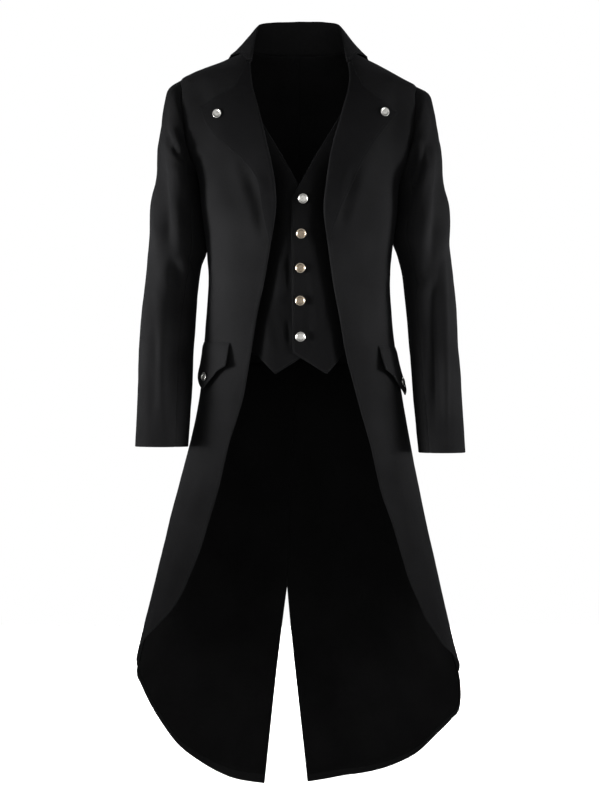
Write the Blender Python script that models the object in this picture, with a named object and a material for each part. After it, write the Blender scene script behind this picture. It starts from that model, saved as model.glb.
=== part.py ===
"""Long black tailcoat with wide lapels, a high turned-down collar and a false waistcoat sewn in.

The coat keeps the hollow shape of a body that it hangs on. Every piece of cloth is a thin wall laid
on a trunk form or on the rings of a sleeve. Metres, +Z up. The front faces -Y, the wearer's left is
+X, and the origin lies midway between the shoulders.
"""
import math

import bmesh
import bpy
import numpy as np

# Cloth
CLOTH = 0.0018
LINING = 0.0011
SEAM_GAP = 0.0003
LINING_GAP = 0.0006

# Trunk form: an oval at each height. Sway moves its centre to the wearer's left, and a fullness
# over 2 squares it off.
TRUNK = (
    ("height", "half_width", "front", "back", "sway", "fullness"),
    (-1.320, 0.347, 0.212, 0.238, -0.003, 2.2),
    (-1.160, 0.311, 0.190, 0.216, -0.003, 2.2),
    (-1.060, 0.287, 0.176, 0.201, -0.002, 2.2),
    (-0.983, 0.267, 0.164, 0.188, -0.003, 2.2),
    (-0.881, 0.242, 0.150, 0.169, -0.002, 2.2),
    (-0.779, 0.218, 0.136, 0.151, -0.002, 2.2),
    (-0.677, 0.1945, 0.125, 0.134, 0.002, 2.2),
    (-0.575, 0.1735, 0.116, 0.117, 0.004, 2.25),
    (-0.473, 0.1610, 0.109, 0.100, 0.001, 2.3),
    (-0.420, 0.1565, 0.107, 0.093, 0.000, 2.35),
    (-0.370, 0.1540, 0.108, 0.090, 0.000, 2.35),
    (-0.320, 0.1570, 0.113, 0.094, 0.000, 2.4),
    (-0.260, 0.1650, 0.119, 0.103, 0.000, 2.45),
    (-0.192, 0.1725, 0.120, 0.112, 0.000, 2.55),
    (-0.150, 0.1880, 0.117, 0.115, 0.000, 2.65),
    (-0.100, 0.2005, 0.108, 0.112, 0.000, 2.65),
    (-0.055, 0.2005, 0.097, 0.103, 0.000, 2.6),
    (-0.030, 0.1955, 0.085, 0.091, 0.000, 2.5),
    (-0.024, 0.1850, 0.082, 0.088, 0.000, 2.5),
    (-0.012, 0.1560, 0.076, 0.082, 0.000, 2.4),
    (0.000, 0.1275, 0.069, 0.075, 0.000, 2.3),
    (0.020, 0.0820, 0.056, 0.062, 0.000, 2.15),
    (0.040, 0.0400, 0.044, 0.050, 0.000, 2.0),
)
# The wearer's left side hangs a little lower.
LEFT_DROP = 0.010
DROP_FROM = 0.075
DROP_TO = 0.190

# Long soft folds of the trunk, each fading out over a share of its length at both ends
FOLD_FADE = 0.4
TRUNK_FOLDS = (
    ("top_angle", "top_height", "foot_angle", "foot_height", "width", "depth"),
    (62, -0.56, 70, -1.02, 9, 0.0035),
    (-58, -0.58, -66, -1.00, 9, 0.0030),
    (114, -0.62, 118, -1.30, 10, 0.0060),
    (-116, -0.60, -120, -1.30, 10, 0.0040),
    (140, -0.66, 143, -1.36, 9, -0.0070),
    (-141, -0.68, -144, -1.36, 9, -0.0065),
    (160, -0.60, 158, -1.36, 9, 0.0060),
    (-159, -0.62, -157, -1.36, 9, 0.0060),
)

# Panels: how many cells each way
ROWS_BELOW_ARMHOLE = 18
ROWS_AT_ARMHOLE = 10
FRONT_COLUMNS = 8
BACK_NECK_COLUMNS = 6
ROW_CROWDING = 1.25
LINING_ROWS = 13
LINING_SHORT = (0.35, 0.12)

# Seams on the trunk form, angle in degrees from the centre front to the wearer's left
NECK_HEIGHT = 0.020
CHEST_HEIGHT = -0.205
ARMHOLE_CENTRE = -0.1105
ARMHOLE_RADIUS = 0.0815
ARMHOLE_SPREAD = 16.5
SIDE_SEAM = (
    ("height", "angle"),
    (-1.030, 97.0),
    (-0.700, 97.0),
    (-0.420, 97.0),
    (-0.192, 90.0),
)

# Front edge from the hem up the cutaway, the roll line and the neck seam, on each side
FRONT_EDGE = (
    ("height", "right_angle", "left_angle"),
    (-0.990, 84.5, 81.0),
    (-0.971, 78.1, 73.5),
    (-0.956, 73.5, 70.9),
    (-0.941, 69.6, 68.3),
    (-0.923, 65.2, 65.7),
    (-0.900, 62.0, 63.9),
    (-0.866, 59.2, 61.2),
    (-0.823, 56.2, 59.6),
    (-0.775, 54.0, 57.6),
    (-0.720, 51.8, 52.8),
    (-0.649, 49.8, 48.7),
    (-0.575, 44.2, 42.8),
    (-0.500, 39.6, 37.1),
    (-0.440, 35.5, 34.0),
    (-0.370, 28.5, 28.1),
    (-0.315, 23.0, 23.4),
    (-0.262, 19.4, 20.6),
    (-0.215, 20.3, 22.4),
    (-0.160, 25.3, 26.4),
    (-0.110, 31.7, 33.7),
    (-0.060, 40.0, 42.0),
    (-0.040, 43.8, 45.5),
    (-0.020, 48.6, 49.2),
    (-0.014, 50.6, 50.6),
    (-0.005, 54.0, 54.0),
    (0.004, 61.0, 61.0),
    (0.011, 69.0, 69.0),
    (0.018, 84.0, 84.0),
    (0.020, 90.0, 90.0),
)
# Lower end of the front, between the cutaway edge and the side seam
FRONT_HEM = (
    ("height", "right_angle", "left_angle"),
    (-0.990, 84.5, 81.0),
    (-1.010, 90.0, 88.0),
    (-1.030, 97.0, 97.0),
)
# Hem of the tails, from the side seam round to the vent
TAIL_HEM = (
    ("angle", "right_height", "left_height"),
    (97.0, -1.030, -1.030),
    (101.0, -1.050, -1.068),
    (106.0, -1.068, -1.102),
    (112.0, -1.095, -1.122),
    (120.0, -1.138, -1.154),
    (129.0, -1.188, -1.193),
    (138.0, -1.222, -1.218),
    (150.0, -1.253, -1.242),
    (165.0, -1.268, -1.258),
    (180.0, -1.272, -1.268),
)
# Centre back: how far the seam, and the middle of the vent, lie across the coat
CENTRE_BACK = (
    ("height", "across"),
    (-1.272, -0.0238),
    (-0.905, -0.0212),
    (-0.700, -0.0120),
    (-0.450, 0.0000),
    (0.020, 0.0000),
)
VENT_TOP = -0.905
VENT_FOOT = -1.272
VENT_HALF_WIDTH = 0.040

# Sleeve: rings below the cap, each from its inner to its outer side and from front to back
ARM = (
    ("height", "inner_right", "inner_left", "outer_right", "outer_left", "front", "back"),
    (-0.215, 0.1724, 0.1722, 0.2385, 0.2420, -0.070, 0.080),
    (-0.260, 0.1676, 0.1674, 0.2445, 0.2485, -0.067, 0.077),
    (-0.298, 0.1625, 0.1632, 0.2515, 0.2530, -0.064, 0.073),
    (-0.320, 0.1610, 0.1690, 0.2540, 0.2555, -0.062, 0.071),
    (-0.345, 0.1660, 0.1755, 0.2560, 0.2585, -0.060, 0.068),
    (-0.380, 0.1712, 0.1805, 0.2592, 0.2620, -0.060, 0.064),
    (-0.473, 0.1795, 0.1888, 0.2646, 0.2640, -0.069, 0.047),
    (-0.575, 0.1833, 0.1955, 0.2700, 0.2725, -0.085, 0.024),
    (-0.652, 0.1880, 0.2018, 0.2724, 0.2775, -0.098, 0.006),
)
CAP_ROWS = 5
ARM_ROWS = 9
SHOULDER_LIFT = 0.0006
ARMPIT_LIFT = 0.0018
FRONT_SEAM_STEP = 7
HIND_SEAM_STEP = 6
SHOULDER_LEAVES = (0.76, 0.60)
ARMPIT_LEAVES = (0.50, 0.85)
CAP_SPREAD = 0.45
# Folds of a sleeve, whose angles are 0 at its outer side and whose heights are shares of its length
SLEEVE_FOLDS = (
    ("top_angle", "top_share", "foot_angle", "foot_share", "width", "depth"),
    (-28, 0.10, 20, 0.52, 20, 0.0050),
    (46, 0.05, 78, 0.40, 17, -0.0035),
    (84, 0.08, 118, 0.30, 16, 0.0045),
    (-70, 0.14, -46, 0.60, 20, -0.0045),
    (-112, 0.22, -84, 0.66, 18, 0.0045),
    (30, 0.55, -14, 0.92, 22, 0.0030),
    (160, 0.34, 128, 0.62, 20, -0.0035),
)

# Collar: top of its roll, and leaf edge on the trunk form, at angles along the neck seam
COLLAR = (
    ("neck_angle", "roll_x", "roll_y", "roll_z", "leaf_angle", "leaf_height"),
    (180.0, 0.0000, 0.0470, 0.0765, 180.0, -0.0060),
    (134.0, 0.0450, 0.0400, 0.0740, 137.0, -0.0040),
    (103.0, 0.0680, 0.0200, 0.0655, 106.0, 0.0000),
    (84.0, 0.0715, -0.0060, 0.0500, 90.0, 0.0055),
    (70.0, 0.0742, -0.0300, 0.0290, 77.0, 0.0045),
    (60.0, 0.0765, -0.0530, 0.0080, 65.0, 0.0035),
    (54.5, 0.0780, -0.0675, -0.0060, 57.0, -0.0040),
    (50.6, 0.0785, -0.0760, -0.0115, 52.5, -0.0100),
)
COLLAR_END = -0.0120
COLLAR_LIFT = 0.0030
COLLAR_FOLD = 0.0060
COLLAR_ROUND = 0.6
COLLAR_FOOT_GAP = 0.0006
COLLAR_STAND_SHARES = (0.0, 0.5)
COLLAR_LEAF_SHARES = (0.35, 0.68, 1.0)

# Lapel: its roll line is the front edge; its outer edge lies on the front, and so does its top
LAPEL = (
    ("share", "right_angle", "right_height", "left_angle", "left_height"),
    (0.00, 25.0, -0.3110, 25.2, -0.3110),
    (0.20, 27.1, -0.2680, 29.5, -0.2680),
    (0.40, 30.7, -0.2130, 37.5, -0.2220),
    (0.55, 38.7, -0.1830, 43.8, -0.1830),
    (0.70, 47.5, -0.1590, 50.5, -0.1480),
    (0.87, 60.3, -0.1210, 58.7, -0.1130),
    (1.00, 65.4, -0.0860, 65.0, -0.0885),
)
LAPEL_HEAD = (
    ("over", "angle", "height"),
    (0.00, 50.2, -0.0155),
    (0.17, 49.2, -0.0360),
    (0.33, 49.6, -0.0540),
    (0.55, 54.5, -0.0660),
    (1.00, 65.0, -0.0875),
)
LAPEL_STEPS_OVER = 6
ROLL_SECTION = (
    ("toward_centre", "lift"),
    (0.0009, -0.0018),
    (0.0032, -0.0008),
    (0.0042, 0.0022),
    (0.0028, 0.0052),
)
LAPEL_ROLL_LIFT = 0.0062
LAPEL_EDGE_LIFT = 0.0034
LAPEL_ROW_GAP = 0.002

# False waistcoat, inside the fronts: hem and free edge, then the seam under the front
VEST_ROWS_TO_V = 9
VEST_ROWS_ABOVE_V = 7
VEST_COLUMNS = 9
VEST_LIFT = -0.0065
VEST_UNDERLAP = -0.0090
VEST_SEAM_LIFT = -0.0027
VEST_OVERLAP_ANGLE = 6.0
VEST_UNDERLAP_ANGLE = 7.8
VEST_UNDERLAP_SHARES = (0.22, 0.47)
VEST_RISE_FROM = 0.55
VEST_HEM_HEIGHT = -0.4965
VEST_NECK = (
    ("height", "angle"),
    (-0.2445, -6.0),
    (-0.222, 0.0),
    (-0.160, 16.5),
    (-0.100, 34.0),
    (-0.040, 52.0),
)
VEST_SEAM = (
    ("height", "angle"),
    (-0.486, 60.0),
    (-0.400, 54.0),
    (-0.300, 47.0),
    (-0.200, 45.0),
    (-0.120, 50.0),
    (-0.045, 63.0),
)
VEST_HEM = (
    ("share", "angle", "height"),
    (0.00, 0.0, -0.4965),
    (0.40, 23.0, -0.5310),
    (0.62, 36.0, -0.5000),
    (1.00, 60.0, -0.4860),
)

# Pocket flap on each front, which starts further round on the wearer's left
FLAP = (
    ("share", "angle", "top_height", "foot_height"),
    (0.00, 54.3, -0.4800, -0.5190),
    (0.20, 60.5, -0.4790, -0.5270),
    (0.46, 70.5, -0.4780, -0.5580),
    (0.75, 84.0, -0.4770, -0.5330),
    (1.00, 97.0, -0.4760, -0.5180),
)
FLAP_TURN = {"left": 7.0, "right": 0.0}
FLAP_STEPS = 12
FLAP_ROWS = 4
FLAP_TOP_LIFT = 0.0026
FLAP_FOOT_LIFT = 0.0070
FLAP_POINT_LIFT = 0.0045
FLAP_FLARE = 1.8
FLAP_POINT_SHARE = 0.48
FLAP_POINT_WIDTH = 0.2
FLAP_BUTTON_ROW = 3

# Buttons: turned profile as radius and height over the cloth, of the largest button
BUTTON_PROFILE = (
    ("radius", "height"),
    (0.0022, 0.0000),
    (0.0022, 0.0013),
    (0.0078, 0.0014),
    (0.0083, 0.0034),
    (0.0064, 0.0036),
)
BUTTON_FACE_HEIGHT = 0.0028
BUTTON_RADIUS = 0.0083
BUTTON_FACETS = 12
VEST_BUTTONS = (
    ("angle", "height"),
    (3.2, -0.2435),
    (1.8, -0.3010),
    (1.2, -0.3570),
    (1.1, -0.4106),
    (0.9, -0.4700),
)
LAPEL_BUTTONS = (
    ("side", "angle", "height", "share_to_roll"),
    ("left", 57.6, -0.0925, 0.25),
    ("right", 55.2, -0.1020, 0.31),
)
LAPEL_BUTTON_RADIUS = 0.0077
FLAP_BUTTON = (70.8, -0.5365)
FLAP_BUTTON_RADIUS = 0.0073
FLAP_BUTTON_RISE = 0.0006

# Surfaces
MATERIALS = (
    ("name", "red", "green", "blue", "roughness", "metallic"),
    ("black_wool", 0.012, 0.012, 0.013, 0.85, 0.0),
    ("waistcoat_wool", 0.014, 0.014, 0.015, 0.80, 0.0),
    ("black_satin", 0.006, 0.006, 0.007, 0.50, 0.0),
    ("silver", 0.62, 0.62, 0.60, 0.32, 1.0),
    ("bronze", 0.42, 0.33, 0.22, 0.36, 1.0),
)
SIDES = {"left": 1, "right": -1}
SHARP_ANGLE = math.radians(45)


def clear_scene():
    """Remove the objects that a new file starts with."""
    for thing in list(bpy.data.objects):
        bpy.data.objects.remove(thing, do_unlink=True)


def make_materials():
    """Plain surfaces in one colour each, by name."""
    materials = {}
    for name, red, green, blue, roughness, metallic in MATERIALS[1:]:
        material = bpy.data.materials.new(name)
        material.use_nodes = True
        shader = material.node_tree.nodes["Principled BSDF"]
        shader.inputs["Base Color"].default_value = (red, green, blue, 1.0)
        shader.inputs["Roughness"].default_value = roughness
        shader.inputs["Metallic"].default_value = metallic
        material.diffuse_color = (red, green, blue, 1.0)
        materials[name] = material
    return materials


def column(table, name):
    """Values of a table's named column."""
    place = table[0].index(name)
    return np.array([row[place] for row in table[1:]], float)


def straight_column(table, name, at):
    """Read a named column of a table at any value of its first one, in straight steps."""
    return np.interp(at, column(table, table[0][0]), column(table, name))


def smooth_column(table, name, at):
    """Read a named column of a table at any value of its first one, with no corner at the rows."""
    key = column(table, table[0][0])
    order = np.argsort(key)
    key = key[order]
    value = column(table, name)[order]
    step = np.diff(key)
    rise = np.diff(value) / step
    slope = np.empty_like(value)
    slope[0] = rise[0]
    slope[-1] = rise[-1]
    slope[1:-1] = (step[1:] * rise[:-1] + step[:-1] * rise[1:]) / (step[1:] + step[:-1])
    at = np.clip(np.asarray(at, float), key[0], key[-1])
    cell = np.clip(np.searchsorted(key, at) - 1, 0, len(step) - 1)
    part = (at - key[cell]) / step[cell]
    rest = 1 - part
    ends = value[cell] * rest ** 2 * (1 + 2 * part) + value[cell + 1] * part ** 2 * (3 - 2 * part)
    bends = slope[cell] * part * rest ** 2 - slope[cell + 1] * part ** 2 * rest
    return ends + step[cell] * bends


def ease(share):
    """Rise softly from 0 to 1."""
    share = np.clip(share, 0.0, 1.0)
    return share * share * (3 - 2 * share)


def unit(vectors):
    """Scale vectors to length one."""
    return vectors / np.linalg.norm(vectors, axis=-1, keepdims=True)


def fold_lift(folds, angle, along):
    """Height of the folds of a table over the plain form, which fade out at both of their ends."""
    lift = np.zeros(np.broadcast(angle, along).shape)
    for top_angle, top, foot_angle, foot, width, depth in folds[1:]:
        share = (along - foot) / (top - foot)
        middle = foot_angle + (top_angle - foot_angle) * share
        fade = ease(share / FOLD_FADE) * ease((1 - share) / FOLD_FADE)
        across = (angle - middle + 180) % 360 - 180
        lift = lift + depth * fade * np.exp(-(across / width) ** 2)
    return lift


def trunk_form(angle, height):
    """Point of the trunk form, with its folds and no lift."""
    turn = np.radians(angle)
    half_width = smooth_column(TRUNK, "half_width", height)
    front = smooth_column(TRUNK, "front", height)
    back = smooth_column(TRUNK, "back", height)
    sway = smooth_column(TRUNK, "sway", height)
    fullness = smooth_column(TRUNK, "fullness", height)
    depth = np.where(np.cos(turn) > 0, front, back)
    across = np.abs(np.sin(turn)) / half_width
    away = np.abs(np.cos(turn)) / depth
    radius = (across ** fullness + away ** fullness) ** (-1 / fullness)
    radius = radius + fold_lift(TRUNK_FOLDS, angle, height)
    x = sway + radius * np.sin(turn)
    y = -radius * np.cos(turn)
    return np.stack([x, y, np.broadcast_to(height, x.shape)], axis=-1)


def trunk_point(angle, height, lift=0.0):
    """Point at a lift over the trunk form, and the form's outward direction there."""
    angle, height, lift = np.broadcast_arrays(angle, height, lift)
    angle = angle.astype(float)
    height = height.astype(float)
    turn_step = 0.25
    rise_step = 0.0015
    around = trunk_form(angle + turn_step, height) - trunk_form(angle - turn_step, height)
    upward = trunk_form(angle, height + rise_step) - trunk_form(angle, height - rise_step)
    outward = unit(np.cross(around, upward))
    return trunk_form(angle, height) + outward * lift[..., None], outward


def hang(points):
    """Let the wearer's left side down a little."""
    hung = np.array(points, float)
    hung[..., 2] -= LEFT_DROP * ease((hung[..., 0] - DROP_FROM) / (DROP_TO - DROP_FROM))
    return hung


def blend_patch(foot, head, first, last):
    """Fill a four-sided patch from its edges: foot and head run across, first and last run up."""
    rows, columns = len(first), len(foot)
    up = np.linspace(0, 1, rows)[:, None, None]
    over = np.linspace(0, 1, columns)[None, :, None]
    between_sides = first[:, None] * (1 - over) + last[:, None] * over
    between_ends = foot[None] * (1 - up) + head[None] * up
    low = foot[0] * (1 - over) + foot[-1] * over
    high = head[0] * (1 - over) + head[-1] * over
    return between_sides + between_ends - (low * (1 - up) + high * up)


def trim(points, sides, gap=SEAM_GAP):
    """Draw the named sides of a grid of points in by half a seam gap."""
    cut = np.array(points)
    ends = {"foot": (0, 1), "head": (-1, -2)}
    for side in sides:
        if side in ends:
            edge, inner = ends[side]
            cut[edge] += unit(cut[inner] - cut[edge]) * gap / 2
        else:
            edge, inner = (0, 1) if side == "first" else (-1, -2)
            cut[:, edge] += unit(cut[:, inner] - cut[:, edge]) * gap / 2
    return cut


def grid_normals(points):
    """Direction square to a grid of points, at each of them."""
    up = np.gradient(points, axis=0)
    over = np.gradient(points, axis=1)
    return unit(np.cross(over, up))


def add_object(name, mesh, material):
    """Put a mesh in the scene under its node's name."""
    mesh.materials.append(material)
    thing = bpy.data.objects.new(name, mesh)
    bpy.context.scene.collection.objects.link(thing)
    return thing


def wall(name, outer, inner, material):
    """Closed wall between two grids of points."""
    rows, columns = outer.shape[:2]
    count = rows * columns
    index = np.arange(count).reshape(rows, columns)
    quads = []
    for row in range(rows - 1):
        for column in range(columns - 1):
            quad = (index[row, column], index[row, column + 1],
                    index[row + 1, column + 1], index[row + 1, column])
            quads.append(quad)
            quads.append(tuple(corner + count for corner in reversed(quad)))
    around = [*index[0, :-1], *index[:-1, -1], *index[-1, :0:-1], *index[:0:-1, 0]]
    for place, corner in enumerate(around):
        following = around[(place + 1) % len(around)]
        quads.append((corner, corner + count, following + count, following))
    points = hang(np.concatenate([outer.reshape(-1, 3), inner.reshape(-1, 3)]))
    mesh = bpy.data.meshes.new(name)
    mesh.from_pydata(points.tolist(), [], [tuple(int(corner) for corner in quad) for quad in quads])
    solid = bmesh.new()
    solid.from_mesh(mesh)
    bmesh.ops.triangulate(solid, faces=solid.faces[:])
    bmesh.ops.recalc_face_normals(solid, faces=solid.faces[:])
    solid.to_mesh(mesh)
    solid.free()
    mesh.shade_smooth()
    mesh.set_sharp_from_angle(angle=SHARP_ANGLE)
    return add_object(name, mesh, material)


def trunk_wall(name, patch, side, lift, sides, material):
    """Wall laid on the trunk form over a patch of angles and heights."""
    angle = side * patch[..., 0]
    outer, _ = trunk_point(angle, patch[..., 1], lift)
    inner, _ = trunk_point(angle, patch[..., 1], lift - CLOTH)
    return wall(name, trim(outer, sides), trim(inner, sides), material)


def along_heights(table, heights, name="angle"):
    """Angle and height of an edge that a table gives by height."""
    return np.stack([smooth_column(table, name, heights), heights], axis=-1)


def crowded(start, end, steps, power):
    """Values from start to end, closer together near the start."""
    return start + (end - start) * np.linspace(0, 1, steps + 1) ** power


def armhole_angles():
    """Turn about the armhole, from the armpit up to the shoulder."""
    return np.linspace(180.0, 0.0, ROWS_AT_ARMHOLE + 1)


def armhole_edge(turns):
    """Angle and height of the armhole on the trunk form; turns are 0 at the shoulder, + to the front."""
    turn = np.radians(turns)
    angle = 90.0 - ARMHOLE_SPREAD * np.sin(turn)
    height = ARMHOLE_CENTRE + ARMHOLE_RADIUS * np.cos(turn)
    return np.stack([angle, height], axis=-1)


def side_and_armhole(facing):
    """Side seam and then the armhole's front or back half, from the hem to the shoulder."""
    foot, *_, head = column(SIDE_SEAM, "height")
    heights = crowded(foot, head, ROWS_BELOW_ARMHOLE, ROW_CROWDING)
    seam = along_heights(SIDE_SEAM, heights)
    armhole = armhole_edge(facing * armhole_angles())
    return np.concatenate([seam[:-1], armhole])


def shoulder_seam():
    """Seam from the neck to the tip of the shoulder."""
    tip = armhole_edge(0.0)[1]
    heights = np.linspace(NECK_HEIGHT, tip, FRONT_COLUMNS + 1)
    return np.stack([np.full_like(heights, 90.0), heights], axis=-1)


def front_heights():
    """Heights of the rows of a front at its edge, from the hem to the neck."""
    foot = column(FRONT_EDGE, "height")[0]
    lower = crowded(foot, CHEST_HEIGHT, ROWS_BELOW_ARMHOLE, ROW_CROWDING)
    rise = np.sin(np.linspace(0, math.pi / 2, ROWS_AT_ARMHOLE + 1))
    return np.concatenate([lower[:-1], CHEST_HEIGHT + (NECK_HEIGHT - CHEST_HEIGHT) * rise])


def front_patch(word):
    """Angles and heights of a front, as on the wearer's left."""
    edge = along_heights(FRONT_EDGE, front_heights(), word + "_angle")
    first, *_, last = column(FRONT_HEM, "height")
    hem_heights = np.linspace(first, last, FRONT_COLUMNS + 1)
    hem = along_heights(FRONT_HEM, hem_heights, word + "_angle")
    return blend_patch(hem, shoulder_seam(), edge, side_and_armhole(1))


def back_edge(side, heights):
    """Angle and height of the centre back seam and, below it, of one edge of the vent."""
    open_share = np.clip((VENT_TOP - heights) / (VENT_TOP - VENT_FOOT), 0, 1)
    across = smooth_column(CENTRE_BACK, "across", heights) + side * VENT_HALF_WIDTH * open_share
    sway = smooth_column(TRUNK, "sway", heights)
    depth = smooth_column(TRUNK, "back", heights)
    angle = 180.0 - side * np.degrees(np.arctan2(across - sway, depth))
    return np.stack([angle, heights], axis=-1)


def back_patch(word):
    """Angles and heights of one back with its tail, as on the wearer's left."""
    lower = np.linspace(VENT_FOOT, CHEST_HEIGHT, ROWS_BELOW_ARMHOLE + 1)
    upper = np.linspace(CHEST_HEIGHT, NECK_HEIGHT, ROWS_AT_ARMHOLE + 1)
    edge = back_edge(SIDES[word], np.concatenate([lower[:-1], upper]))
    columns = BACK_NECK_COLUMNS + FRONT_COLUMNS
    hem_angles = np.linspace(edge[0, 0], column(SIDE_SEAM, "angle")[0], columns + 1)
    hem = np.stack([hem_angles, smooth_column(TAIL_HEM, word + "_height", hem_angles)], axis=-1)
    edge[0] = hem[0]
    neck_angles = np.linspace(edge[-1, 0], 90.0, BACK_NECK_COLUMNS + 1)
    neck = np.stack([neck_angles, np.full_like(neck_angles, NECK_HEIGHT)], axis=-1)
    head = np.concatenate([neck[:-1], shoulder_seam()])
    return blend_patch(hem, head, edge, side_and_armhole(-1))


def add_body(wool):
    """Fronts and backs."""
    for word, side in SIDES.items():
        trunk_wall("front_" + word, front_patch(word), side, 0.0, ("head", "last"), wool)
        trunk_wall("back_" + word, back_patch(word), side, 0.0, ("head", "last", "first"), wool)


def add_lining(satin):
    """Lining of the tails up to the waist, from the points of the backs, a little short of each edge."""
    for word, side in SIDES.items():
        patch = back_patch(word)[:LINING_ROWS + 1]
        faces = []
        for lift in (-CLOTH - LINING_GAP, -CLOTH - LINING_GAP - LINING):
            points, _ = trunk_point(side * patch[..., 0], patch[..., 1], lift)
            points[0] += LINING_SHORT[0] * (points[1] - points[0])
            points[:, 0] += LINING_SHORT[1] * (points[:, 1] - points[:, 0])
            points[:, -1] += LINING_SHORT[1] * (points[:, -2] - points[:, -1])
            faces.append(points)
        wall("lining_" + word, *faces, satin)


def sleeve_rings(word):
    """Inside of a sleeve, as on the wearer's left: points and outward directions, row by row."""
    side = SIDES[word]
    steps = 2 * ROWS_AT_ARMHOLE
    turns = np.arange(steps) * 360.0 / steps
    turn = np.radians(turns)
    seam = armhole_edge(turns)
    start, outward = trunk_point(side * seam[:, 0], seam[:, 1])
    start = start * (side, 1, 1)
    outward = outward * (side, 1, 1)
    top = (1 + np.cos(turn)) / 2
    leave_out = SHOULDER_LEAVES[0] * top + ARMPIT_LEAVES[0] * (1 - top)
    leave_down = SHOULDER_LEAVES[1] * top + ARMPIT_LEAVES[1] * (1 - top)
    leave = unit(np.stack([leave_out, -CAP_SPREAD * np.sin(turn), -leave_down], axis=-1))
    lift = SHOULDER_LIFT * top + ARMPIT_LIFT * (1 - top)
    start = start + outward * lift[:, None] + leave * SEAM_GAP
    first, *_, last = column(ARM, "height")
    rings = []
    for height in np.linspace(first, last, ARM_ROWS + 1):
        inner = smooth_column(ARM, "inner_" + word, height)
        outer = smooth_column(ARM, "outer_" + word, height)
        front = smooth_column(ARM, "front", height)
        back = smooth_column(ARM, "back", height)
        x = (inner + outer) / 2 + (outer - inner) / 2 * np.cos(turn)
        y = (front + back) / 2 - (back - front) / 2 * np.sin(turn)
        rings.append(np.stack([x, y, np.full_like(x, height)], axis=-1))
    arrive = unit(rings[1] - rings[0])
    reach = np.linalg.norm(rings[0] - start, axis=-1, keepdims=True)
    cap = []
    for share in np.linspace(0, 1, CAP_ROWS + 1)[:-1]:
        rest = 1 - share
        ends = start * rest ** 2 * (1 + 2 * share) + rings[0] * share ** 2 * (3 - 2 * share)
        cap.append(ends + reach * (leave * share * rest ** 2 - arrive * share ** 2 * rest))
    points = np.array(cap + rings)
    down = np.gradient(points, axis=0)
    around = np.roll(points, -1, axis=1) - np.roll(points, 1, axis=1)
    direction = unit(np.cross(around, down))
    row_share = np.linspace(0, 1, len(points))[:, None]
    lift = fold_lift(SLEEVE_FOLDS, turns[None, :], row_share)
    points = points + direction * lift[..., None]
    return points, direction


def add_sleeves(wool):
    """Top and under sleeves, parted at the front seam and the hind arm seam."""
    steps = 2 * ROWS_AT_ARMHOLE
    top = np.arange(-HIND_SEAM_STEP, FRONT_SEAM_STEP + 1) % steps
    under = np.arange(FRONT_SEAM_STEP, steps - HIND_SEAM_STEP + 1) % steps
    for word, side in SIDES.items():
        points, direction = sleeve_rings(word)
        outside = points + direction * CLOTH
        for name, columns in (("top_sleeve_", top), ("under_sleeve_", under)):
            outer = trim(outside[:, columns] * (side, 1, 1), ("first", "last"))
            inner = trim(points[:, columns] * (side, 1, 1), ("first", "last"))
            wall(name + word, outer, inner, wool)


def neck_seam():
    """Angles and heights of the neck seam's points, from the centre back round to the lapel."""
    back_angles = np.linspace(180.0, 90.0, BACK_NECK_COLUMNS + 1)
    back = np.stack([back_angles, np.full_like(back_angles, NECK_HEIGHT)], axis=-1)
    heights = front_heights()[-2::-1]
    front_rows = heights[heights > COLLAR_END]
    front = along_heights(FRONT_EDGE, np.append(front_rows, COLLAR_END), "left_angle")
    return np.concatenate([back, front])


def collar_section(side, neck_angle, neck_height):
    """Points across the collar at one place: up the stand, round the roll and down the leaf."""
    values = [float(smooth_column(COLLAR, name, neck_angle)) for name in COLLAR[0][1:]]
    roll_x, roll_y, roll_z, leaf_angle, leaf_height = values
    neck, _ = trunk_point(side * neck_angle, neck_height)
    leaf, _ = trunk_point(side * leaf_angle, leaf_height, COLLAR_LIFT + CLOTH)
    roll = np.array([side * roll_x, roll_y, roll_z])
    rise = unit(roll - (neck + leaf) / 2)
    out = leaf - neck
    out = unit(out - rise * np.dot(out, rise))
    stand_top = roll - (out / 2 + rise * COLLAR_ROUND) * COLLAR_FOLD
    leaf_top = roll + (out / 2 - rise * COLLAR_ROUND) * COLLAR_FOLD
    foot = neck + unit(stand_top - neck) * COLLAR_FOOT_GAP
    section = [foot + (stand_top - foot) * part for part in COLLAR_STAND_SHARES]
    section += [stand_top, roll, leaf_top]
    section += [leaf_top + (leaf - leaf_top) * part for part in COLLAR_LEAF_SHARES]
    return section


def add_collar(wool):
    """High collar, one wall folded at its roll."""
    seam = neck_seam()
    sections = [collar_section(-1, *place) for place in seam[:0:-1]]
    sections += [collar_section(1, *place) for place in seam]
    outer = np.array(sections)
    inner = outer + grid_normals(outer) * CLOTH
    wall("collar", outer, inner, wool)


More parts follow.
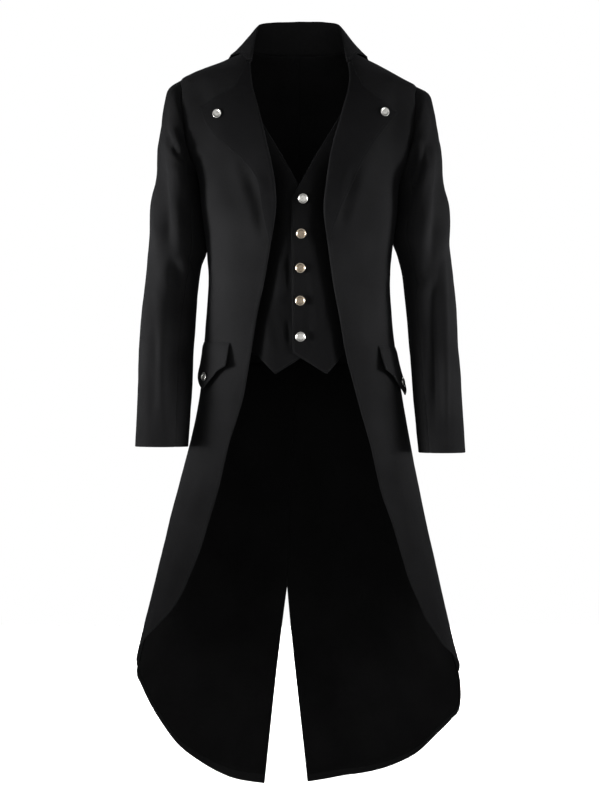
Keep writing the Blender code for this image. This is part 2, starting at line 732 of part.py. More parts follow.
def lapel_points(word):
    """Face of a lapel: out of the front edge, round the roll and over the front."""
    side = SIDES[word]
    heights = front_heights()
    foot = column(LAPEL, word + "_height")[0] - LAPEL_ROW_GAP
    head = column(LAPEL_HEAD, "height")[0]
    heights = np.append(heights[(heights > foot) & (heights < head - LAPEL_ROW_GAP)], head)
    roll = along_heights(FRONT_EDGE, heights, word + "_angle")
    shares = np.linspace(0, 1, len(heights))
    edge = [smooth_column(LAPEL, word + name, shares) for name in ("_angle", "_height")]
    edge = np.stack(edge, axis=-1)
    over = np.linspace(0, 1, LAPEL_STEPS_OVER + 1)
    top = np.stack([straight_column(LAPEL_HEAD, name, over) for name in ("angle", "height")], axis=-1)
    top[0] = roll[-1]
    top[-1] = edge[-1]
    low = roll[0] + (edge[0] - roll[0]) * over[:, None]
    patch = blend_patch(low, top, roll, edge)
    lift = LAPEL_ROLL_LIFT + (LAPEL_EDGE_LIFT - LAPEL_ROLL_LIFT) * over[None, :]
    face, _ = trunk_point(side * patch[..., 0], patch[..., 1], lift)
    edge_points, outward = trunk_point(side * roll[:, 0], roll[:, 1])
    along = unit(np.gradient(edge_points, axis=0))
    centre = unit(np.cross(outward, along)) * side
    bend = []
    for toward, rise in ROLL_SECTION[1:]:
        bend.append(edge_points + centre * (toward + SEAM_GAP) + outward * rise)
    return np.concatenate([np.array(bend).transpose(1, 0, 2), face], axis=1)


def add_lapels(wool):
    """Wide lapels, folded out at the roll line."""
    for word, side in SIDES.items():
        face = lapel_points(word)
        inside = face - grid_normals(face) * CLOTH * side
        wall("lapel_" + word, trim(face, ("head",)), trim(inside, ("head",)), wool)


def vest_patch(side):
    """Angles and heights of one waistcoat front; the wearer's left laps over the right."""
    lap = -VEST_OVERLAP_ANGLE if side > 0 else -VEST_UNDERLAP_ANGLE
    point, *_, neck = column(VEST_NECK, "height")
    low = np.linspace(VEST_HEM_HEIGHT, point, VEST_ROWS_TO_V + 1)
    opening = along_heights(VEST_NECK, np.linspace(point, neck, VEST_ROWS_ABOVE_V + 1))
    opening[0, 0] = lap
    overlap = np.stack([np.full_like(low, lap), low], axis=-1)
    edge = np.concatenate([overlap[:-1], opening])
    foot, *_, head = column(VEST_SEAM, "height")
    seam_heights = np.linspace(foot, head, len(edge))
    seam = along_heights(VEST_SEAM, seam_heights)
    shares = np.linspace(0, 1, VEST_COLUMNS + 1)
    hem_angle = straight_column(VEST_HEM, "angle", shares) + lap * (1 - shares) ** 3
    hem = np.stack([hem_angle, straight_column(VEST_HEM, "height", shares)], axis=-1)
    top = edge[-1] + (seam[-1] - edge[-1]) * shares[:, None]
    return blend_patch(hem, top, edge, seam)


def vest_lift(side, columns):
    """The waistcoat lies free at its edge and comes up to the front at its seam."""
    share = np.linspace(0, 1, columns)
    free = np.full(columns, VEST_LIFT)
    if side < 0:
        start, end = VEST_UNDERLAP_SHARES
        free += (VEST_UNDERLAP - VEST_LIFT) * (1 - ease((share - start) / (end - start)))
    return free + (VEST_SEAM_LIFT - free) * ease((share - VEST_RISE_FROM) / (1 - VEST_RISE_FROM))


def add_vest(cloth):
    """Two waistcoat fronts inside the coat's fronts."""
    for word, side in SIDES.items():
        patch = vest_patch(side)
        lift = vest_lift(side, patch.shape[1])[None, :]
        trunk_wall("vest_" + word, patch, side, lift, (), cloth)


def flap_lift(share, down):
    """Lift of a flap, which is sewn at its top and stands off at its foot, most at its point."""
    point = np.exp(-((share - FLAP_POINT_SHARE) / FLAP_POINT_WIDTH) ** 2)
    foot = FLAP_FOOT_LIFT + FLAP_POINT_LIFT * point
    return FLAP_TOP_LIFT + (foot - FLAP_TOP_LIFT) * down ** FLAP_FLARE


def add_flaps(wool):
    """Pointed pocket flaps on the hips."""
    share = np.linspace(0, 1, FLAP_STEPS + 1)[None, :]
    down = np.linspace(1, 0, FLAP_ROWS + 1)[:, None]
    top = straight_column(FLAP, "top_height", share)
    height = top + (straight_column(FLAP, "foot_height", share) - top) * down
    for word, side in SIDES.items():
        angle = straight_column(FLAP, "angle", share) + FLAP_TURN[word]
        patch = np.stack([np.broadcast_to(angle, height.shape), height], axis=-1)
        trunk_wall("flap_" + word, patch, side, flap_lift(share, down), (), wool)


def add_button(name, angle, height, lift, radius, material):
    """Turned button with a shank, a raised rim and a dished face, square to the cloth under it."""
    seat, outward = trunk_point(angle, height, lift + SEAM_GAP)
    scale = radius / BUTTON_RADIUS
    level = unit(np.cross((0.0, 0.0, 1.0), outward))
    upright = np.cross(outward, level)
    points = []
    faces = []
    for step in range(BUTTON_FACETS):
        turn = 2 * math.pi * step / BUTTON_FACETS
        spoke = math.cos(turn) * level + math.sin(turn) * upright
        for reach, rise in BUTTON_PROFILE[1:]:
            points.append(seat + (spoke * reach + outward * rise) * scale)
    ring = len(BUTTON_PROFILE) - 1
    under, over = len(points), len(points) + 1
    points.append(seat)
    points.append(seat + outward * BUTTON_FACE_HEIGHT * scale)
    for step in range(BUTTON_FACETS):
        here = step * ring
        there = (step + 1) % BUTTON_FACETS * ring
        faces.append((under, there, here))
        faces.append((over, here + ring - 1, there + ring - 1))
        for level_step in range(ring - 1):
            faces.append((here + level_step, there + level_step, there + level_step + 1))
            faces.append((here + level_step, there + level_step + 1, here + level_step + 1))
    mesh = bpy.data.meshes.new(name)
    mesh.from_pydata(hang(np.array(points)).tolist(), [], faces)
    mesh.shade_smooth()
    mesh.set_sharp_from_angle(angle=SHARP_ANGLE)
    solid = bmesh.new()
    solid.from_mesh(mesh)
    bmesh.ops.recalc_face_normals(solid, faces=solid.faces[:])
    solid.to_mesh(mesh)
    solid.free()
    return add_object(name, mesh, material)


def add_buttons(silver, bronze):
    """Five waistcoat buttons, one on each lapel and one on each flap."""
    last = len(VEST_BUTTONS) - 1
    for number, (angle, height) in enumerate(VEST_BUTTONS[1:], start=1):
        metal = silver if number in (1, last) else bronze
        add_button(f"vest_button_{number}", angle, height, VEST_LIFT, BUTTON_RADIUS, metal)
    for word, angle, height, share in LAPEL_BUTTONS[1:]:
        angle = SIDES[word] * angle
        lift = LAPEL_EDGE_LIFT + (LAPEL_ROLL_LIFT - LAPEL_EDGE_LIFT) * share
        add_button("lapel_button_" + word, angle, height, lift, LAPEL_BUTTON_RADIUS, silver)
    share, _, top, foot = FLAP[FLAP_BUTTON_ROW]
    for word, side in SIDES.items():
        angle, height = FLAP_BUTTON
        lift = float(flap_lift(share, (height - top) / (foot - top))) + FLAP_BUTTON_RISE
        angle = side * (angle + FLAP_TURN[word])
        add_button("flap_button_" + word, angle, height, lift, FLAP_BUTTON_RADIUS, silver)


def main():
    """Build the whole coat."""
    clear_scene()
    materials = make_materials()
    wool = materials["black_wool"]
    add_body(wool)
    add_lining(materials["black_satin"])
    add_sleeves(wool)
    add_collar(wool)
    add_lapels(wool)
    add_vest(materials["waistcoat_wool"])
    add_flaps(wool)
    add_buttons(materials["silver"], materials["bronze"])


main()
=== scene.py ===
"""Looks of the tailcoat: each piece of cloth as a fine shell with its creases, seams and weave.

Every piece is laid on the same form as its solid, from the same sizes in metres, with more points.
"""
import math

import bpy
import numpy as np
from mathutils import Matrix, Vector


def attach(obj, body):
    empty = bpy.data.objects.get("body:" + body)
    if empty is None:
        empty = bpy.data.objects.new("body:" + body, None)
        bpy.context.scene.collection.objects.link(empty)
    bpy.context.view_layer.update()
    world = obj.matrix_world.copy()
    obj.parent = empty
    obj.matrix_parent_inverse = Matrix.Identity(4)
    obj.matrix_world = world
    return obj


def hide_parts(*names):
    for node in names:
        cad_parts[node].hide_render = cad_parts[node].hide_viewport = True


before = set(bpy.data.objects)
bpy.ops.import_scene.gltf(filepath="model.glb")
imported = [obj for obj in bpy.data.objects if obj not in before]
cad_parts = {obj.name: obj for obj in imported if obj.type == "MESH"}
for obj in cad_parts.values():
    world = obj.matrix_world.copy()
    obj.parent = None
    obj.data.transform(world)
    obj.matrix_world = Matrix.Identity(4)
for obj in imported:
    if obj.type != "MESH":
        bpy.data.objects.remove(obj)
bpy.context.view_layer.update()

# How many of the shell's cells go to one cell of the solid
FINE = 6

# Cloth
CLOTH = 0.0018
LINING = 0.0011
SEAM_GAP = 0.0003
LINING_GAP = 0.0006

# Trunk form: an oval at each height. Sway moves its centre to the wearer's left, and a fullness
# over 2 squares it off.
TRUNK = (
    ("height", "half_width", "front", "back", "sway", "fullness"),
    (-1.320, 0.347, 0.212, 0.238, -0.003, 2.2),
    (-1.160, 0.311, 0.190, 0.216, -0.003, 2.2),
    (-1.060, 0.287, 0.176, 0.201, -0.002, 2.2),
    (-0.983, 0.267, 0.164, 0.188, -0.003, 2.2),
    (-0.881, 0.242, 0.150, 0.169, -0.002, 2.2),
    (-0.779, 0.218, 0.136, 0.151, -0.002, 2.2),
    (-0.677, 0.1945, 0.125, 0.134, 0.002, 2.2),
    (-0.575, 0.1735, 0.116, 0.117, 0.004, 2.25),
    (-0.473, 0.1610, 0.109, 0.100, 0.001, 2.3),
    (-0.420, 0.1565, 0.107, 0.093, 0.000, 2.35),
    (-0.370, 0.1540, 0.108, 0.090, 0.000, 2.35),
    (-0.320, 0.1570, 0.113, 0.094, 0.000, 2.4),
    (-0.260, 0.1650, 0.119, 0.103, 0.000, 2.45),
    (-0.192, 0.1725, 0.120, 0.112, 0.000, 2.55),
    (-0.150, 0.1880, 0.117, 0.115, 0.000, 2.65),
    (-0.100, 0.2005, 0.108, 0.112, 0.000, 2.65),
    (-0.055, 0.2005, 0.097, 0.103, 0.000, 2.6),
    (-0.030, 0.1955, 0.085, 0.091, 0.000, 2.5),
    (-0.024, 0.1850, 0.082, 0.088, 0.000, 2.5),
    (-0.012, 0.1560, 0.076, 0.082, 0.000, 2.4),
    (0.000, 0.1275, 0.069, 0.075, 0.000, 2.3),
    (0.020, 0.0820, 0.056, 0.062, 0.000, 2.15),
    (0.040, 0.0400, 0.044, 0.050, 0.000, 2.0),
)
# Steps in degrees and metres over which its slopes are taken
TURN_STEP = 0.25
RISE_STEP = 0.0015
# The wearer's left side hangs a little lower.
LEFT_DROP = 0.010
DROP_FROM = 0.075
DROP_TO = 0.190

# Long soft folds of the trunk, each fading out over a share of its length at both ends
FOLD_FADE = 0.4
TRUNK_FOLDS = (
    ("top_angle", "top_height", "foot_angle", "foot_height", "width", "depth"),
    (62, -0.56, 70, -1.02, 9, 0.0035),
    (-58, -0.58, -66, -1.00, 9, 0.0030),
    (114, -0.62, 118, -1.30, 10, 0.0060),
    (-116, -0.60, -120, -1.30, 10, 0.0040),
    (140, -0.66, 143, -1.36, 9, -0.0070),
    (-141, -0.68, -144, -1.36, 9, -0.0065),
    (160, -0.60, 158, -1.36, 9, 0.0060),
    (-159, -0.62, -157, -1.36, 9, 0.0060),
)

# Panels: how many cells each way
ROWS_BELOW_ARMHOLE = 18 * FINE
ROWS_AT_ARMHOLE = 10 * FINE
FRONT_COLUMNS = 8 * FINE
BACK_NECK_COLUMNS = 6 * FINE
ROW_CROWDING = 1.25
LINING_ROWS = 13 * FINE
LINING_SHORT = (0.35, 0.12)

# Seams on the trunk form, angle in degrees from the centre front to the wearer's left
SHOULDER_ANGLE = 90.0
BACK_ANGLE = 180.0
NECK_HEIGHT = 0.020
CHEST_HEIGHT = -0.205
ARMHOLE_CENTRE = -0.1105
ARMHOLE_RADIUS = 0.0815
ARMHOLE_SPREAD = 16.5
SIDE_SEAM = (
    ("height", "angle"),
    (-1.030, 97.0),
    (-0.700, 97.0),
    (-0.420, 97.0),
    (-0.192, 90.0),
)

# Front edge from the hem up the cutaway, the roll line and the neck seam, on each side
FRONT_EDGE = (
    ("height", "right_angle", "left_angle"),
    (-0.990, 84.5, 81.0),
    (-0.971, 78.1, 73.5),
    (-0.956, 73.5, 70.9),
    (-0.941, 69.6, 68.3),
    (-0.923, 65.2, 65.7),
    (-0.900, 62.0, 63.9),
    (-0.866, 59.2, 61.2),
    (-0.823, 56.2, 59.6),
    (-0.775, 54.0, 57.6),
    (-0.720, 51.8, 52.8),
    (-0.649, 49.8, 48.7),
    (-0.575, 44.2, 42.8),
    (-0.500, 39.6, 37.1),
    (-0.440, 35.5, 34.0),
    (-0.370, 28.5, 28.1),
    (-0.315, 23.0, 23.4),
    (-0.262, 19.4, 20.6),
    (-0.215, 20.3, 22.4),
    (-0.160, 25.3, 26.4),
    (-0.110, 31.7, 33.7),
    (-0.060, 40.0, 42.0),
    (-0.040, 43.8, 45.5),
    (-0.020, 48.6, 49.2),
    (-0.014, 50.6, 50.6),
    (-0.005, 54.0, 54.0),
    (0.004, 61.0, 61.0),
    (0.011, 69.0, 69.0),
    (0.018, 84.0, 84.0),
    (0.020, 90.0, 90.0),
)
# Lower end of the front, between the cutaway edge and the side seam
FRONT_HEM = (
    ("height", "right_angle", "left_angle"),
    (-0.990, 84.5, 81.0),
    (-1.010, 90.0, 88.0),
    (-1.030, 97.0, 97.0),
)
# Hem of the tails, from the side seam round to the vent
TAIL_HEM = (
    ("angle", "right_height", "left_height"),
    (97.0, -1.030, -1.030),
    (101.0, -1.050, -1.068),
    (106.0, -1.068, -1.102),
    (112.0, -1.095, -1.122),
    (120.0, -1.138, -1.154),
    (129.0, -1.188, -1.193),
    (138.0, -1.222, -1.218),
    (150.0, -1.253, -1.242),
    (165.0, -1.268, -1.258),
    (180.0, -1.272, -1.268),
)
# Centre back: how far the seam, and the middle of the vent, lie across the coat
CENTRE_BACK = (
    ("height", "across"),
    (-1.272, -0.0238),
    (-0.905, -0.0212),
    (-0.700, -0.0120),
    (-0.450, 0.0000),
    (0.020, 0.0000),
)
VENT_TOP = -0.905
VENT_FOOT = -1.272
VENT_HALF_WIDTH = 0.040

# Sleeve: rings below the cap, each from its inner to its outer side and from front to back
ARM = (
    ("height", "inner_right", "inner_left", "outer_right", "outer_left", "front", "back"),
    (-0.215, 0.1724, 0.1722, 0.2385, 0.2420, -0.070, 0.080),
    (-0.260, 0.1676, 0.1674, 0.2445, 0.2485, -0.067, 0.077),
    (-0.298, 0.1625, 0.1632, 0.2515, 0.2530, -0.064, 0.073),
    (-0.320, 0.1610, 0.1690, 0.2540, 0.2555, -0.062, 0.071),
    (-0.345, 0.1660, 0.1755, 0.2560, 0.2585, -0.060, 0.068),
    (-0.380, 0.1712, 0.1805, 0.2592, 0.2620, -0.060, 0.064),
    (-0.473, 0.1795, 0.1888, 0.2646, 0.2640, -0.069, 0.047),
    (-0.575, 0.1833, 0.1955, 0.2700, 0.2725, -0.085, 0.024),
    (-0.652, 0.1880, 0.2018, 0.2724, 0.2775, -0.098, 0.006),
)
CAP_ROWS = 5 * FINE
ARM_ROWS = 9 * FINE
SHOULDER_LIFT = 0.0006
ARMPIT_LIFT = 0.0018
FRONT_SEAM_STEP = 7 * FINE
HIND_SEAM_STEP = 6 * FINE
SHOULDER_LEAVES = (0.76, 0.60)
ARMPIT_LEAVES = (0.50, 0.85)
CAP_SPREAD = 0.45
# Folds of a sleeve, whose angles are 0 at its outer side and whose heights are shares of its length
SLEEVE_FOLDS = (
    ("top_angle", "top_share", "foot_angle", "foot_share", "width", "depth"),
    (-28, 0.10, 20, 0.52, 20, 0.0050),
    (46, 0.05, 78, 0.40, 17, -0.0035),
    (84, 0.08, 118, 0.30, 16, 0.0045),
    (-70, 0.14, -46, 0.60, 20, -0.0045),
    (-112, 0.22, -84, 0.66, 18, 0.0045),
    (30, 0.55, -14, 0.92, 22, 0.0030),
    (160, 0.34, 128, 0.62, 20, -0.0035),
)

# Collar: top of its roll, and leaf edge on the trunk form, at angles along the neck seam
COLLAR = (
    ("neck_angle", "roll_x", "roll_y", "roll_z", "leaf_angle", "leaf_height"),
    (180.0, 0.0000, 0.0470, 0.0765, 180.0, -0.0060),
    (134.0, 0.0450, 0.0400, 0.0740, 137.0, -0.0040),
    (103.0, 0.0680, 0.0200, 0.0655, 106.0, 0.0000),
    (84.0, 0.0715, -0.0060, 0.0500, 90.0, 0.0055),
    (70.0, 0.0742, -0.0300, 0.0290, 77.0, 0.0045),
    (60.0, 0.0765, -0.0530, 0.0080, 65.0, 0.0035),
    (54.5, 0.0780, -0.0675, -0.0060, 57.0, -0.0040),
    (50.6, 0.0785, -0.0760, -0.0115, 52.5, -0.0100),
)
COLLAR_END = -0.0120
COLLAR_LIFT = 0.0030
COLLAR_FOLD = 0.0060
COLLAR_ROUND = 0.6
COLLAR_FOOT_GAP = 0.0006
COLLAR_STAND_SHARES = (0.0, 0.5)
COLLAR_LEAF_SHARES = (0.35, 0.68, 1.0)

# Lapel: its roll line is the front edge; its outer edge lies on the front, and so does its top
LAPEL = (
    ("share", "right_angle", "right_height", "left_angle", "left_height"),
    (0.00, 23.3, -0.3180, 23.6, -0.3180),
    (0.20, 27.1, -0.2680, 29.5, -0.2680),
    (0.40, 30.7, -0.2130, 37.5, -0.2220),
    (0.55, 38.7, -0.1830, 43.8, -0.1830),
    (0.70, 47.5, -0.1590, 50.5, -0.1480),
    (0.87, 60.3, -0.1210, 58.7, -0.1130),
    (1.00, 65.4, -0.0860, 65.0, -0.0885),
)
LAPEL_HEAD = (
    ("over", "angle", "height"),
    (0.00, 50.2, -0.0155),
    (0.17, 49.2, -0.0360),
    (0.33, 49.6, -0.0540),
    (0.55, 54.5, -0.0660),
    (1.00, 65.0, -0.0875),
)
LAPEL_STEPS_OVER = 6 * FINE
ROLL_SECTION = (
    ("toward_centre", "lift"),
    (0.0009, -0.0018),
    (0.0032, -0.0008),
    (0.0042, 0.0022),
    (0.0028, 0.0052),
)
LAPEL_ROLL_LIFT = 0.0062
LAPEL_EDGE_LIFT = 0.0034
LAPEL_ROW_GAP = 0.002

# False waistcoat, inside the fronts: hem and free edge, then the seam under the front
VEST_ROWS_TO_V = 9 * FINE
VEST_ROWS_ABOVE_V = 7 * FINE
VEST_COLUMNS = 9 * FINE
VEST_LIFT = -0.0065
VEST_UNDERLAP = -0.0090
VEST_SEAM_LIFT = -0.0027
VEST_OVERLAP_ANGLE = 6.0
VEST_UNDERLAP_ANGLE = 7.8
VEST_LAP_FADE = 3
VEST_UNDERLAP_SHARES = (0.22, 0.47)
VEST_RISE_FROM = 0.55
VEST_HEM_HEIGHT = -0.4965
VEST_NECK = (
    ("height", "angle"),
    (-0.2445, -6.0),
    (-0.222, 0.0),
    (-0.160, 16.5),
    (-0.100, 34.0),
    (-0.040, 52.0),
)
VEST_SEAM = (
    ("height", "angle"),
    (-0.486, 60.0),
    (-0.400, 54.0),
    (-0.300, 47.0),
    (-0.200, 45.0),
    (-0.120, 50.0),
    (-0.045, 63.0),
)
VEST_HEM = (
    ("share", "angle", "height"),
    (0.00, 0.0, -0.4965),
    (0.40, 23.0, -0.5310),
    (0.62, 36.0, -0.5000),
    (1.00, 60.0, -0.4860),
)

# Pocket flap on each front, which starts further round on the wearer's left
FLAP = (
    ("share", "angle", "top_height", "foot_height"),
    (0.00, 54.3, -0.4800, -0.5190),
    (0.20, 60.5, -0.4790, -0.5270),
    (0.46, 70.5, -0.4780, -0.5580),
    (0.75, 84.0, -0.4770, -0.5330),
    (1.00, 97.0, -0.4760, -0.5180),
)
FLAP_TURN = {"left": 7.0, "right": 0.0}
FLAP_STEPS = 12 * FINE
FLAP_ROWS = 4 * FINE
FLAP_TOP_LIFT = 0.0026
FLAP_FOOT_LIFT = 0.0070
FLAP_POINT_LIFT = 0.0045
FLAP_FLARE = 1.8
FLAP_POINT_SHARE = 0.48
FLAP_POINT_WIDTH = 0.2
FLAP_BUTTON_ROW = 3

# Buttons: turned profile as radius and height over the cloth, of the largest button
BUTTON_PROFILE = (
    ("radius", "height"),
    (0.0022, 0.0000),
    (0.0022, 0.0012),
    (0.0068, 0.0013),
    (0.0079, 0.0017),
    (0.0083, 0.0024),
    (0.0082, 0.0031),
    (0.0077, 0.0036),
    (0.0071, 0.0036),
    (0.0066, 0.0032),
    (0.0062, 0.0028),
    (0.0040, 0.0027),
    (0.0018, 0.0029),
)
BUTTON_FACE_HEIGHT = 0.0030
BUTTON_RADIUS = 0.0083
FACE_RADIUS = 0.0064
BUTTON_STEPS = 40
VEST_BUTTONS = (
    ("angle", "height"),
    (3.2, -0.2435),
    (1.8, -0.3010),
    (1.2, -0.3570),
    (1.1, -0.4106),
    (0.9, -0.4700),
)
LAPEL_BUTTONS = (
    ("side", "angle", "height", "share_to_roll"),
    ("left", 57.6, -0.0925, 0.25),
    ("right", 55.2, -0.1020, 0.31),
)
LAPEL_BUTTON_RADIUS = 0.0077
FLAP_BUTTON = (70.8, -0.5365)
FLAP_BUTTON_RADIUS = 0.0073
FLAP_BUTTON_RISE = 0.0006

SIDES = {"left": 1, "right": -1}

# Creases, one by one: a bend through three points across and up the coat, half as wide as it looks
FRONT_CREASES = (
    ("x0", "z0", "x1", "z1", "x2", "z2", "width", "depth"),
    (-0.139, -0.150, -0.142, -0.215, -0.133, -0.285, 0.024, 0.0022),
    (-0.092, -0.196, -0.069, -0.245, -0.059, -0.318, 0.009, -0.0032),
    (-0.108, -0.170, -0.100, -0.215, -0.090, -0.262, 0.010, 0.0016),
    (-0.1862, -0.098, -0.1835, -0.125, -0.1815, -0.156, 0.0028, -0.0012),
    (-0.1805, -0.104, -0.1785, -0.126, -0.1765, -0.150, 0.0024, -0.0009),
    (-0.190, -0.020, -0.191, -0.115, -0.179, -0.205, 0.019, 0.0085),
    (-0.150, -0.330, -0.128, -0.350, -0.098, -0.362, 0.012, 0.0010),
    (-0.146, -0.395, -0.122, -0.405, -0.096, -0.404, 0.010, -0.0009),
    (-0.110, -0.520, -0.112, -0.640, -0.128, -0.760, 0.014, 0.0014),
    (-0.145, -0.600, -0.155, -0.720, -0.176, -0.850, 0.012, -0.0012),
    (0.142, -0.200, 0.141, -0.270, 0.131, -0.345, 0.024, 0.0020),
    (0.098, -0.180, 0.080, -0.235, 0.066, -0.305, 0.009, -0.0028),
    (0.116, -0.170, 0.106, -0.215, 0.094, -0.262, 0.010, 0.0014),
    (0.1835, -0.105, 0.1820, -0.128, 0.1800, -0.156, 0.0026, -0.0010),
    (0.190, -0.020, 0.191, -0.115, 0.179, -0.205, 0.019, 0.0085),
    (0.148, -0.345, 0.126, -0.362, 0.102, -0.368, 0.012, 0.0010),
    (0.146, -0.412, 0.124, -0.420, 0.100, -0.417, 0.010, -0.0008),
    (0.118, -0.530, 0.122, -0.650, 0.140, -0.770, 0.014, 0.0013),
    (0.152, -0.610, 0.163, -0.730, 0.184, -0.870, 0.012, -0.0012),
)
BACK_CREASES = (
    ("x0", "z0", "x1", "z1", "x2", "z2", "width", "depth"),
    (-0.162, -0.110, -0.142, -0.160, -0.104, -0.200, 0.009, -0.0028),
    (-0.156, -0.150, -0.130, -0.196, -0.090, -0.232, 0.012, 0.0020),
    (0.164, -0.116, 0.146, -0.168, 0.112, -0.214, 0.009, -0.0026),
    (0.156, -0.158, 0.132, -0.204, 0.096, -0.242, 0.012, 0.0018),
    (-0.136, -0.352, -0.092, -0.372, -0.040, -0.366, 0.010, -0.0020),
    (-0.126, -0.392, -0.086, -0.404, -0.048, -0.398, 0.009, 0.0014),
    (0.138, -0.346, 0.098, -0.364, 0.050, -0.360, 0.010, -0.0018),
    (0.128, -0.384, 0.090, -0.398, 0.044, -0.394, 0.009, 0.0013),
    (-0.068, -0.060, -0.074, -0.110, -0.070, -0.170, 0.014, 0.0012),
    (0.072, -0.064, 0.076, -0.116, 0.072, -0.180, 0.014, 0.0012),
    (-0.070, -0.520, -0.086, -0.720, -0.104, -0.960, 0.018, 0.0022),
    (-0.128, -0.560, -0.152, -0.760, -0.186, -1.010, 0.018, -0.0022),
    (0.062, -0.530, 0.080, -0.740, 0.108, -0.980, 0.018, 0.0020),
    (0.124, -0.570, 0.150, -0.780, 0.190, -1.030, 0.018, -0.0022),
)
VEST_CREASES = (
    ("x0", "z0", "x1", "z1", "x2", "z2", "width", "depth"),
    (-0.018, -0.330, -0.020, -0.362, -0.019, -0.392, 0.0045, -0.0020),
    (-0.030, -0.320, -0.031, -0.372, -0.036, -0.430, 0.0080, 0.0014),
    (-0.022, -0.438, -0.019, -0.462, -0.017, -0.488, 0.0040, -0.0016),
    (-0.046, -0.420, -0.040, -0.460, -0.031, -0.505, 0.0070, -0.0014),
    (-0.048, -0.262, -0.040, -0.300, -0.041, -0.345, 0.0090, -0.0016),
    (0.026, -0.270, 0.032, -0.310, 0.036, -0.360, 0.0080, -0.0016),
    (0.018, -0.345, 0.024, -0.400, 0.034, -0.452, 0.0070, 0.0012),
    (0.050, -0.400, 0.046, -0.440, 0.038, -0.490, 0.0080, -0.0014),
    (0.012, -0.430, 0.016, -0.458, 0.022, -0.490, 0.0050, -0.0010),
    (-0.014, -0.250, -0.010, -0.272, -0.012, -0.296, 0.0045, -0.0009),
    (0.020, -0.225, 0.022, -0.246, 0.020, -0.268, 0.0060, 0.0009),
)
RIGHT_SLEEVE_CREASES = (
    ("x0", "z0", "x1", "z1", "x2", "z2", "width", "depth"),
    (-0.2205, -0.122, -0.2110, -0.150, -0.1975, -0.176, 0.0042, -0.0036),
    (-0.2150, -0.113, -0.2040, -0.140, -0.1925, -0.162, 0.0046, 0.0024),
    (-0.2120, -0.142, -0.2010, -0.165, -0.1870, -0.186, 0.0040, -0.0032),
    (-0.1890, -0.172, -0.1800, -0.212, -0.1735, -0.262, 0.0085, -0.0050),
    (-0.2040, -0.176, -0.1960, -0.214, -0.1870, -0.258, 0.0085, 0.0036),
    (-0.2330, -0.130, -0.2260, -0.235, -0.2090, -0.350, 0.0110, -0.0095),
    (-0.2050, -0.030, -0.2040, -0.085, -0.1980, -0.150, 0.0170, 0.0050),
    (-0.2140, -0.325, -0.2060, -0.365, -0.1940, -0.398, 0.0100, -0.0048),
    (-0.2420, -0.200, -0.2400, -0.280, -0.2340, -0.370, 0.0090, 0.0030),
    (-0.1960, -0.330, -0.1900, -0.352, -0.1800, -0.372, 0.0060, 0.0026),
    (-0.2385, -0.428, -0.2380, -0.515, -0.2370, -0.606, 0.0060, -0.0024),
    (-0.2520, -0.370, -0.2560, -0.460, -0.2590, -0.560, 0.0080, 0.0022),
    (-0.2290, -0.470, -0.2280, -0.540, -0.2230, -0.630, 0.0065, 0.0018),
    (-0.2060, -0.330, -0.2060, -0.480, -0.2050, -0.665, 0.0150, -0.0080),
    (-0.2480, -0.500, -0.2450, -0.560, -0.2420, -0.625, 0.0050, -0.0014),
)
LEFT_SLEEVE_CREASES = (
    ("x0", "z0", "x1", "z1", "x2", "z2", "width", "depth"),
    (0.2150, -0.140, 0.2040, -0.172, 0.1860, -0.240, 0.0080, -0.0075),
    (0.2050, -0.030, 0.2040, -0.085, 0.1980, -0.150, 0.0170, 0.0050),
    (0.2020, -0.130, 0.1930, -0.155, 0.1840, -0.186, 0.0060, 0.0030),
    (0.2230, -0.165, 0.2120, -0.205, 0.2010, -0.262, 0.0090, 0.0036),
    (0.1880, -0.205, 0.1815, -0.240, 0.1765, -0.280, 0.0080, -0.0046),
    (0.2370, -0.150, 0.2320, -0.262, 0.2130, -0.355, 0.0095, -0.0085),
    (0.2190, -0.340, 0.2060, -0.372, 0.1930, -0.392, 0.0090, -0.0046),
    (0.2460, -0.200, 0.2450, -0.270, 0.2420, -0.330, 0.0080, 0.0026),
    (0.2420, -0.300, 0.2420, -0.470, 0.2450, -0.660, 0.0050, 0.0040),
    (0.2260, -0.310, 0.2240, -0.470, 0.2260, -0.665, 0.0130, -0.0095),
    (0.2540, -0.380, 0.2580, -0.480, 0.2600, -0.600, 0.0070, -0.0010),
    (0.2120, -0.440, 0.2130, -0.520, 0.2160, -0.600, 0.0060, 0.0016),
)
HIND_SLEEVE_CREASES = (
    ("x0", "z0", "x1", "z1", "x2", "z2", "width", "depth"),
    (0.2300, -0.118, 0.2160, -0.158, 0.1950, -0.196, 0.0080, -0.0044),
    (0.2380, -0.150, 0.2220, -0.200, 0.2010, -0.246, 0.0080, 0.0032),
    (0.2400, -0.205, 0.2200, -0.262, 0.1960, -0.300, 0.0085, -0.0040),
    (0.2380, -0.330, 0.2180, -0.350, 0.1990, -0.352, 0.0065, -0.0036),
    (0.2420, -0.352, 0.2220, -0.378, 0.2030, -0.384, 0.0070, 0.0028),
    (0.2460, -0.385, 0.2260, -0.412, 0.2080, -0.420, 0.0065, -0.0032),
    (0.2420, -0.440, 0.2340, -0.520, 0.2320, -0.610, 0.0090, -0.0024),
    (0.2550, -0.400, 0.2560, -0.490, 0.2580, -0.590, 0.0090, 0.0020),
)
SLEEVE_CREASES = {"left": LEFT_SLEEVE_CREASES, "right": RIGHT_SLEEVE_CREASES}
# How a crease runs: it fades over a share of its length, narrows to a share of its width at its tips
# and has a shoulder of the other sense beside it. It isn't worked out beyond its reach in widths.
CREASE_STEPS = 16
CREASE_FADE = 0.34
CREASE_TIP = 0.65
CREASE_SHOULDER = 0.30
CREASE_SHOULDER_AT = 1.9
CREASE_SHOULDER_WIDTH = 0.8
CREASE_REACH = 3.2
# Distance greater than any across the coat
FAR = 9.0
